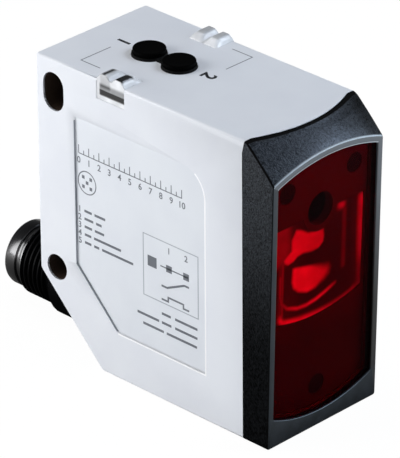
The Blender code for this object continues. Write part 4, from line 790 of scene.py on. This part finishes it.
def guide_points(side, columns=140, rows=48, end_rows=20):
    """Light guide: its ridged section carried along X, with the ridges sloping down to the inner end.

    The first rows are the outer end, drawn together round its middle.
    """
    run = np.concatenate([[0], np.cumsum(np.linalg.norm(np.diff(GUIDE_PROFILE, axis=0), axis=1))])
    y, z = (np.interp(np.linspace(0, run[-1], columns), run, values) for values in GUIDE_PROFILE.T)
    x = np.linspace(GUIDE_OUTER, GUIDE_INNER, rows)[:, None]
    share = np.interp(x, RIDGE_X, RIDGE_SHARES)
    ridged = np.minimum(z, GUIDE_SHOULDER) + np.maximum(z - GUIDE_SHOULDER, 0) * share
    section = np.stack([*np.broadcast_arrays(side * x, y), ridged], axis=-1)
    middle = np.array([side * GUIDE_OUTER, 0.0, GUIDE_MIDDLE])
    end = middle + np.linspace(0.04, 0.96, end_rows)[:, None, None] * (section[0] - middle)
    return np.concatenate([end, section]) + (0, GUIDE_Y, 0)


def guide_glow(points, side):
    """Painted light and shade of a guide: its outer end by height, its top by stripes that run along X."""
    x, y, z = np.abs(points[..., 0]), points[..., 1] - GUIDE_Y, points[..., 2]
    ahead = ramp(y, 2.5, 2.2)
    dark_band = ramp(z, 47.3, 47.6) * ramp(z, 48.5, 48.15) * ahead
    grey_band = ramp(z, 49.7, 49.0) * ramp(z, 48.0, 48.4) * ahead
    back = ramp(y, -0.15, 0.35) * ramp(z, 48.5, 49.2) * ramp(y, 2.5, 1.9)
    end = 0.95 - 0.62 * grey_band - 0.3 * back - 0.95 * dark_band
    if side < 0:
        stripes = np.maximum(bell(y - 1.6, 0.45), ramp(y, -2.5, -2.1) * ramp(y, -0.1, -0.5))
        top = 0.92 - 0.92 * stripes * ramp(x, 8.9, 9.3)
    else:
        top = 0.98 - 0.42 * ramp(z, 50.70, 50.93) * ramp(x, 8.7, 9.2) - 0.25 * bell(y, 0.25)
    outer = ramp(x, 11.5, 11.65)
    return np.clip(end * outer + top * (1 - outer), 0, 1)


for side, name in ((-1, "left"), (1, "right")):
    guide = guide_points(side)
    guide_mesh = skin(f"light_guide_{name}", guide, ring=True, caps=(True, True))
    painted_tones = np.full(len(guide_mesh.vertices), 0.5)
    painted_tones[:guide.shape[0] * guide.shape[1]] = guide_glow(guide, side).ravel()
    set_points(guide_mesh, "glow", painted_tones)
    place(f"light_guide_{name}", guide_mesh, "sensor", GUIDE_PAINTED_LIGHT, (f"indicator_guide_{name}",), 25)

# Receiver lens behind the window

LENS_HALF = 9.4
LENS_LOW = 18.4
LENS_TOP = 35.4
LENS_RADIUS = 30.0
LENS_DEPTH = 1.75
LENS_THICK = 0.8
FACET_HEIGHT = 0.1
EMITTER_Z = 36.2
EMITTER_RADIUS = 2.75
# Outlines on the lens by x and z, before this shift: two facets and the edges, painted bright as if they catch
# the light
LENS_SHIFT = (0.55, -0.45)
UPPER_PAD = [(-6.6, 33.5), (-5.6, 34.9), (-4.5, 34.5), (-3.0, 33.5), (-1.0, 33.1), (0.35, 32.9), (0.55, 31.7),
             (0.4, 30.7), (-0.5, 30.0), (-2.0, 29.9), (-4.0, 30.3), (-5.2, 30.2), (-6.0, 29.7), (-7.2, 29.5),
             (-8.0, 30.0), (-8.3, 30.7), (-7.4, 31.3), (-6.6, 31.7)]
LOWER_PAD = [(-6.2, 28.6), (-5.6, 28.6), (-3.0, 27.9), (0.0, 27.3), (2.0, 26.9), (2.6, 25.7), (2.2, 24.4),
             (1.0, 23.7), (-1.0, 23.2), (-3.0, 23.3), (-5.0, 24.1), (-6.0, 25.1), (-6.4, 26.3), (-6.3, 27.7)]
WELL_EDGE = [(-8.75, 28.0), (-8.75, 24.7), (-8.4, 23.4), (-7.2, 22.2), (-5.0, 21.4), (-3.0, 21.2),
             (-1.0, 21.4), (1.0, 21.9), (3.2, 22.6)]
RIB = [(4.9, 25.0), (4.9, 34.4)]
RIB_HEAD = [(4.0, 35.5), (4.4, 35.4)]
OUTER_HALF = 8.75
OUTER_LOW = 18.95
OUTER_TOP = 35.3


def u_path(half, bottom, top, radius, count=40, corner=0.6):
    """Path of a lens edge: down one side, along an arc, up the other, with its two corners rounded."""
    low = bottom + sag(half, radius)
    x = np.linspace(-half, half, count)
    arc = np.stack([x, bottom + sag(x, radius)], axis=-1)
    down = np.stack([np.full(count, -half), np.linspace(top, low, count)], axis=-1)
    path = np.concatenate([down[:-1], arc, down[::-1][1:] * (-1, 1)])
    reach = int(corner / (2 * half / count)) + 1
    kernel = np.ones(2 * reach + 1) / (2 * reach + 1)
    padded = np.concatenate([np.repeat(path[:1], reach, 0), path, np.repeat(path[-1:], reach, 0)])
    return np.stack([np.convolve(values, kernel, "valid") for values in padded.T], axis=-1)


def line_distance(x, z, corners, closed=False):
    """Distance from each point to a line through corners: the least of the distances to its straight runs."""
    path = np.array(corners, float)
    if closed:
        path = np.concatenate([path, path[:1]])
    start, way = path[:-1], np.diff(path, axis=0)
    spot = np.stack([x, z], axis=-1)[..., None, :] - start
    along = np.clip(np.sum(spot * way, axis=-1) / np.sum(way * way, axis=-1), 0, 1)
    return np.linalg.norm(spot - along[..., None] * way, axis=-1).min(axis=-1)


def inside(x, z, corners):
    """Even-odd test: inside is where a level line from a point crosses the outline an odd number of times."""
    path = np.array(corners, float)
    after = np.roll(path, -1, axis=0)
    low, high = path[:, 1] <= z[..., None], after[:, 1] <= z[..., None]
    run, rise = (after - path).T
    cross = path[:, 0] + (z[..., None] - path[:, 1]) * run / np.where(rise == 0, 1, rise)
    return np.sum((low != high) & (cross > x[..., None]), axis=-1) % 2 == 1


def lens_glow(x, z):
    """Painted light of the lens at a point: the greatest of its facets and of its moulded edges.

    A facet is a smooth step of the distance inside its outline, softer to the right. An edge is a bell curve
    of the distance to its line, times a ramp along it.
    """
    right = ramp(x, 6.0, 8.5)
    fields = []
    for corners, soft, strength in ((UPPER_PAD, 0.35, 0.85 - 0.15 * ramp(x, -7, 0)),
                                    (LOWER_PAD, 0.35 + 2.2 * ramp(x, -3, 3), 1.0 - 0.25 * ramp(x, -6, 1))):
        depth = np.where(inside(x, z, corners), 1, -1) * line_distance(x, z, corners, closed=True)
        fields.append(strength * ramp(depth, -0.25, 0.1 + soft))
    outer = line_distance(x, z, u_path(OUTER_HALF, OUTER_LOW, OUTER_TOP, LENS_RADIUS))
    left = ramp(x, -8.0, -8.6) * ramp(z, 20.5, 22.0)
    along = np.where(x > 7.5, 0.22 + 0.48 * ramp(z, 22, 29), 0.95 - 0.6 * ramp(x, -5, 5) - 0.8 * left)
    fields.append(bell(outer, 0.5 + 0.45 * right) * along)
    fields.append(bell(line_distance(x, z, WELL_EDGE), 0.32)
                  * (0.3 + 0.5 * ramp(x, -8, -5) - 0.5 * ramp(x, 1, 3.5)))
    fields.append(0.13 * bell(line_distance(x, z, RIB), 0.5))
    fields.append(0.5 * bell(line_distance(x, z, RIB_HEAD), 0.7))
    fields.append(0.28 * ramp(x, -5.5, -8.0) * ramp(z, 28.5, 31))
    fields.append(0.03 * right + 0.03 * ramp(x, -2, -9) + 0.015)
    return np.max(fields, axis=0)


def lens_points(columns=170, rows=160):
    """Lens face in its opening, with its facets standing out by their glow, the painted light that tones it.

    It is an arc below, straight above, and cut away there by the emitter's round opening.
    """
    x, v = np.meshgrid(np.linspace(-LENS_HALF, LENS_HALF, columns), np.linspace(0, 1, rows))
    low = LENS_LOW + sag(x, LENS_RADIUS)
    cut = EMITTER_Z - np.sqrt(np.maximum(EMITTER_RADIUS ** 2 - x ** 2, 0))
    high = np.where(np.abs(x) < EMITTER_RADIUS, np.minimum(LENS_TOP, cut), LENS_TOP)
    z = low + (high - low) * v
    glow = lens_glow(x - LENS_SHIFT[0], z - LENS_SHIFT[1])
    return np.stack([x, front_y(z) + LENS_DEPTH - FACET_HEIGHT * glow, z], axis=-1), glow


face, face_painted_light = lens_points()
lens_mesh = skin("lens_face", face)
set_points(lens_mesh, "glow", face_painted_light)
lens_face = place("lens_face", lens_mesh, "sensor", LENS_PAINTED_LIGHT, ("receiver_lens",), 60)
lens_body = lens_face.modifiers.new("lens_body", "SOLIDIFY")
lens_body.thickness = LENS_THICK * MM
lens_body.offset = -1.0

# Printed marks, by x and y on the roof and by y and z on the label

INK_LIFT = 0.012
LABEL_X = -11.45
RECESS_RIM_X = -11.795
FINE_LINE = 0.16
BRACKETS = ([(-2.7, 17.25), (-9.0, 17.25), (-9.0, 13.15)], [(3.75, -0.75), (9.45, -0.75), (9.45, 3.45)])
ROOF_NUMERALS = {"1": (0.0, 17.25), "2": (0.3, -0.35)}
ROOF_SIZE = 3.4
ROOF_WEIGHT = 0.09
# Label: a plain scale, a pin layout, numbered bars and more bars by their heights
SCALE = np.linspace(15.6, -6.2, 21)
SCALE_Z = 35.9
LONG_TICK_Z, SHORT_TICK_Z = 37.3, 36.6
SCALE_NUMERAL_Z = 34.7
SCALE_SIZE = 1.5
PIN_CENTRE = np.array([13.9, 31.3])
PIN_RING = 1.9
PIN_RING_LINE = 0.18
PIN_SPOTS = ((0.8, 0.8), (-0.8, 0.8), (0.8, -0.8), (-0.8, -0.8), (0, 0))
PIN_HALF = 0.28
BAR_LINE = 0.42
NUMBERED_BARS = {
    26.35: [(14.6, 13.0), (12.4, 10.1)], 25.0: [(14.6, 12.7), (12.1, 10.9)],
    23.65: [(14.6, 13.0), (12.4, 10.4)], 22.3: [(14.6, 13.2), (12.6, 6.8)],
    20.95: [(14.6, 13.2), (12.6, 11.5), (10.9, 4.2)],
}
PLAIN_BARS = {
    14.8: [(-1.8, -3.7), (-4.6, -9.3)], 13.25: [(3.4, -1.2), (-1.8, -3.8), (-4.6, -9.3)],
    11.7: [(2.2, -2.2), (-2.8, -9.2)],
}
BAR_NUMERAL_Y = 15.6
SMALL_SIZE = 1.45
LABEL_WEIGHT = 0.02
# Label: a frame round a rising line, a stepped line, a line through three blocks, and numerals
FRAME = [(2.0, 16.7), (2.0, 27.2), (-9.5, 27.2), (-9.5, 16.7), (2.0, 16.7)]
RISING = [(-1.8, 19.6), (-3.0, 19.6), (-6.6, 21.3), (-7.6, 21.3)]
RISING_LINE = 0.34
STEPPED = [(-1.8, 17.3), (-3.2, 17.3), (-3.2, 18.0), (-6.4, 18.0), (-6.4, 17.3), (-7.6, 17.3)]
STEPPED_LINE = 0.30
BLOCKS_Z = 22.9
BLOCKS = ((-1.6, -7.5, 0.2), (1.1, -0.8, 1.8), (-2.8, -4.0, 1.2), (-6.4, -7.6, 1.2))
FRAME_NUMERALS = {"1": -3.4, "2": -7.0}
FRAME_NUMERAL_Z = 25.9
# Recess of the label: painted shade on its back and slanting wall, painted highlight below and in front, with
# a round corner
SHADE = [(16.23, 41.2), (16.23, 16.76), (7.6, 8.13)]
SHADE_LINE = 0.04
HIGHLIGHT_START = (7.3, 7.9)
HIGHLIGHT_CORNER = (-11.35, 7.9)
HIGHLIGHT_LINE = 0.26
ROUND_CENTRE = np.array([-6.45, 37.2])
ROUND_RADIUS = 4.9
ROUND_ANGLES = np.radians(np.linspace(180, 125, 9))


def circle(centre, radius, angle):
    """Points on a circle in a plane, by angle."""
    return centre + radius * np.stack([np.cos(angle), np.sin(angle)], axis=-1)


def strip_points(path, width):
    """Printed line: a flat strip along a path in a plane, with square ends and mitred corners."""
    path = np.array(path, float)
    way = unit(np.diff(path, axis=0))
    closed = np.allclose(path[0], path[-1])
    before = np.concatenate([way[-1:] if closed else way[:1], way])
    after = np.concatenate([way, way[:1] if closed else way[-1:]])
    normal = unit(np.stack([-(before + after)[:, 1], (before + after)[:, 0]], axis=-1))
    across = np.stack([-before[:, 1], before[:, 0]], axis=-1)
    reach = width / 2 / np.sum(normal * across, axis=-1, keepdims=True)
    left, right = path + normal * reach, path - normal * reach
    corners = np.stack([left, right, right, left], axis=1)
    lift = np.broadcast_to(np.array([1, 1, -1, -1]) * INK_LIFT, corners.shape[:2])
    return np.concatenate([corners, lift[..., None]], axis=-1)


def roof_line(path, width):
    """Printed line on the roof."""
    return skin("line", strip_points(path, width) + (0, 0, HEIGHT), ring=True, caps=(True, True))


def side_line(path, width, outer, inner):
    """Strip on the labelled side that reaches from an outer to an inner x."""
    flat = strip_points(path, width)
    points = np.stack([np.where(flat[..., 2] > 0, outer, inner), flat[..., 0], flat[..., 1]], axis=-1)
    return skin("line", points, ring=True, caps=(True, True))


def label_line(path, width):
    """Printed line on the label."""
    return side_line(path, width, LABEL_X - INK_LIFT, LABEL_X + INK_LIFT)


def level_bar(start, end, z, width):
    """Printed bar on the label, from one y to another."""
    return label_line([(start, z), (end, z)], width)


def numeral(text, size, right, up, middle, weight):
    """Plain printed numeral: a text's filled outline, thickened, centred and turned to lie on its face."""
    curve = bpy.data.curves.new("numeral", "FONT")
    curve.body = text
    curve.size = size * MM
    curve.offset = weight * MM
    curve.extrude = INK_LIFT * MM
    curve.align_x = "CENTER"
    curve.align_y = "CENTER"
    writing = new_object("numeral_outline", curve)
    bpy.context.view_layer.update()
    mesh = bpy.data.meshes.new_from_object(writing)
    bpy.data.objects.remove(writing)
    right, up = Vector(right), Vector(up)
    turn = Matrix((right, up, right.cross(up))).transposed().to_4x4()
    mesh.transform(Matrix.Translation(Vector(middle) * MM) @ turn)
    return mesh


def roof_numeral(text, spot):
    """Numeral on the roof, read from behind."""
    return numeral(text, ROOF_SIZE, (-1, 0, 0), (0, -1, 0), (*spot, HEIGHT), ROOF_WEIGHT)


def label_numeral(text, size, y, z):
    """Numeral on the label."""
    return numeral(text, size, (0, -1, 0), (0, 0, 1), (LABEL_X, y, z), LABEL_WEIGHT)


def printed(name, marks, material):
    """One piece from several printed marks."""
    work = bmesh.new()
    for mark in marks:
        work.from_mesh(mark)
        bpy.data.meshes.remove(mark)
    mesh = bpy.data.meshes.new(name)
    work.to_mesh(mesh)
    work.free()
    place(name, mesh, "sensor", material, crease=20)


printed("button_brackets", [roof_line(path, FINE_LINE) for path in BRACKETS], GREY_INK)
printed("button_numerals", [roof_numeral(text, spot) for text, spot in ROOF_NUMERALS.items()], INK)

label_marks = [level_bar(start, end, z, BAR_LINE)
               for bars in (NUMBERED_BARS, PLAIN_BARS) for z, words in bars.items() for start, end in words]
label_marks += [label_line([(y, SCALE_Z), (y, LONG_TICK_Z if i % 2 == 0 else SHORT_TICK_Z)], FINE_LINE)
                for i, y in enumerate(SCALE)]
label_marks += [level_bar(SCALE[0], SCALE[-1], SCALE_Z, FINE_LINE),
                label_line(circle(PIN_CENTRE, PIN_RING, np.linspace(0, TURN, 41)), PIN_RING_LINE)]
label_marks += [label_numeral(str(i), SCALE_SIZE, y, SCALE_NUMERAL_Z) for i, y in enumerate(SCALE[::2])]
label_marks += [label_numeral(str(i), SMALL_SIZE, BAR_NUMERAL_Y, z)
                for i, z in enumerate(NUMBERED_BARS, start=1)]
label_marks += [level_bar(y - PIN_HALF, y + PIN_HALF, z, 2 * PIN_HALF) for y, z in PIN_CENTRE + PIN_SPOTS]
label_marks += [label_line(RISING, RISING_LINE), label_line(STEPPED, STEPPED_LINE)]
label_marks += [level_bar(start, end, BLOCKS_Z, width) for start, end, width in BLOCKS]
label_marks += [label_numeral(text, SMALL_SIZE, y, FRAME_NUMERAL_Z) for text, y in FRAME_NUMERALS.items()]
printed("label_print", label_marks, GREY_INK)
# Painted shade: a pale grey strip that stands on the recess's back and slanting wall
shade = side_line(SHADE, SHADE_LINE, RECESS_RIM_X, LABEL_X)
printed("label_frame_and_painted_shade", [label_line(FRAME, FINE_LINE), shade], PALE_INK_AND_PAINTED_SHADE)
# Painted highlight: a strip whiter than the housing along the recess's edge below and in front
highlight_path = [HIGHLIGHT_START, HIGHLIGHT_CORNER, *circle(ROUND_CENTRE, ROUND_RADIUS, ROUND_ANGLES)]
edge_highlight_strip = side_line(highlight_path, HIGHLIGHT_LINE, -HALF_WIDTH - INK_LIFT, -HALF_WIDTH + INK_LIFT)
printed("label_edge_painted_highlight", [edge_highlight_strip], PAINTED_EDGE_HIGHLIGHT)

# Stage, light and camera

FLOOR_SIZE = 3000.0
FLOOR_Z = -0.05
# Share of the floor that shines by itself to the camera, and how strongly
FLOOR_SHARE = 0.94
FLOOR_STRENGTH = 1.03
# In reflections, painted shade round the part: distances from it in mm over which the floor brightens, and its
# strengths there
FADE_NEAR, FADE_FAR = 32.0, 112.0
FADE_DARK, FADE_LIGHT = 0.02, 1.1
FRONT_NEAR, FRONT_FAR = -22.0, -34.0
FRONT_LIGHT = 0.45


def pale_floor():
    """Plain pale floor: white to the camera, with the part's shadow kept by its diffuse share.

    Reflections see it fade towards the part, less so in front of it: a painted shade by distance from the
    part, standing for the shade under a thing that stands on it.
    """
    material, tree, where = new_material("pale_floor_paper")
    path = add(tree, "LightPath")
    mirrored = path.outputs["Is Glossy Ray"]
    # Painted shade for reflections: darker near the part, less so in front of it
    away = add(tree, "VectorMath", {0: where}, operation="LENGTH")
    fade = add(tree, "MapRange",
               {0: away.outputs["Value"], 1: FADE_NEAR * MM, 2: FADE_FAR * MM, 3: FADE_DARK, 4: FADE_LIGHT})
    ahead = add(tree, "SeparateXYZ", {0: where}).outputs["Y"]
    front = add(tree, "MapRange", {0: ahead, 1: FRONT_NEAR * MM, 2: FRONT_FAR * MM, 3: 0.0, 4: FRONT_LIGHT})
    tone = add(tree, "Math", {0: fade, 1: front}, operation="MAXIMUM")
    strength = add(tree, "Mix", {0: mirrored, 2: FLOOR_STRENGTH, 3: tone}, data_type="FLOAT")
    seen = add(tree, "Math", {0: path.outputs["Is Camera Ray"], 1: path.outputs["Is Transmission Ray"]},
               operation="MAXIMUM")
    part = add(tree, "Math", {0: seen, 1: FLOOR_SHARE}, operation="MULTIPLY")
    share = add(tree, "Math", {0: part, 1: mirrored}, operation="MAXIMUM")
    paper = add(tree, "BsdfDiffuse", {"Color": linear("DEDEDE")})
    glow = add(tree, "Emission", {"Color": linear("FFFFFF"), "Strength": strength})
    mixed = add(tree, "MixShader", {0: share, 1: paper, 2: glow})
    add(tree, "OutputMaterial", {"Surface": mixed})
    return material


floor_edge = np.array([-FLOOR_SIZE / 2, FLOOR_SIZE / 2])
floor_grid = np.meshgrid(floor_edge, floor_edge, indexing="ij")
floor_mesh = skin("floor", np.stack([*floor_grid, np.full((2, 2), FLOOR_Z)], axis=-1))
floor_mesh.materials.append(pale_floor())
floor = new_object("floor", floor_mesh)

# Name, place in mm, size in mm, radiance and colour: each panel faces the middle of the part
PANELS = [
    ("key_panel", (-210.0, 160.0, 110.0), (200.0, 200.0), 5.4, "FDFDFF"),
    ("slope_panel", (190.0, -190.0, 270.0), (180.0, 140.0), 6.5, "E4EEFF"),
    ("rim_panel", (250.0, -250.0, 75.0), (240.0, 120.0), 6.0, "D8EAFA"),
    ("front_panel", (40.0, -290.0, 70.0), (220.0, 110.0), 1.3, "FFFFFF"),
    ("top_panel", (20.0, 120.0, 400.0), (300.0, 300.0), 1.0, "FFFFFF"),
]
TARGET = Vector((0.0, 0.0, 24.0))
for name, spot, size, radiance, colour in PANELS:
    lamp = bpy.data.lights.new(name, "AREA")
    lamp.shape = "RECTANGLE"
    lamp.size, lamp.size_y = size[0] * MM, size[1] * MM
    lamp.energy = radiance * math.pi * size[0] * size[1] * MM * MM
    lamp.color = linear(colour)[:3]
    panel = new_object(name, lamp)
    panel.location = Vector(spot) * MM
    panel.rotation_euler = (TARGET - Vector(spot)).to_track_quat("-Z", "Y").to_euler()

WORLD_COLOUR = "EEF1F6"
WORLD_STRENGTH = 0.22
world = bpy.data.worlds.new("studio")
world.use_nodes = True
background = world.node_tree.nodes["Background"]
background.inputs["Color"].default_value = linear(WORLD_COLOUR)
background.inputs["Strength"].default_value = WORLD_STRENGTH
bpy.context.scene.world = world
bpy.context.scene.view_settings.view_transform = "Standard"

# Camera at the photograph's viewing angle: place in mm, turn about X, Y and Z in degrees, focal length in mm
CAMERA_PLACE = (-441.475, -431.280, 348.883)
CAMERA_TURN = (62.24865, 0.30044, -45.75396)
FOCAL_LENGTH = 361.2
FRAME_SHIFT = -0.0015
camera_data = bpy.data.cameras.new("camera")
camera_data.lens = FOCAL_LENGTH
camera_data.shift_x = FRAME_SHIFT
camera_data.sensor_width = 36.0
camera_data.clip_start = 0.05
camera_data.clip_end = 20.0
camera = new_object("camera", camera_data)
camera_turn = Euler([math.radians(angle) for angle in CAMERA_TURN]).to_matrix().to_4x4()
camera.matrix_world = Matrix.Translation(Vector(CAMERA_PLACE) * MM) @ camera_turn
bpy.context.scene.camera = camera
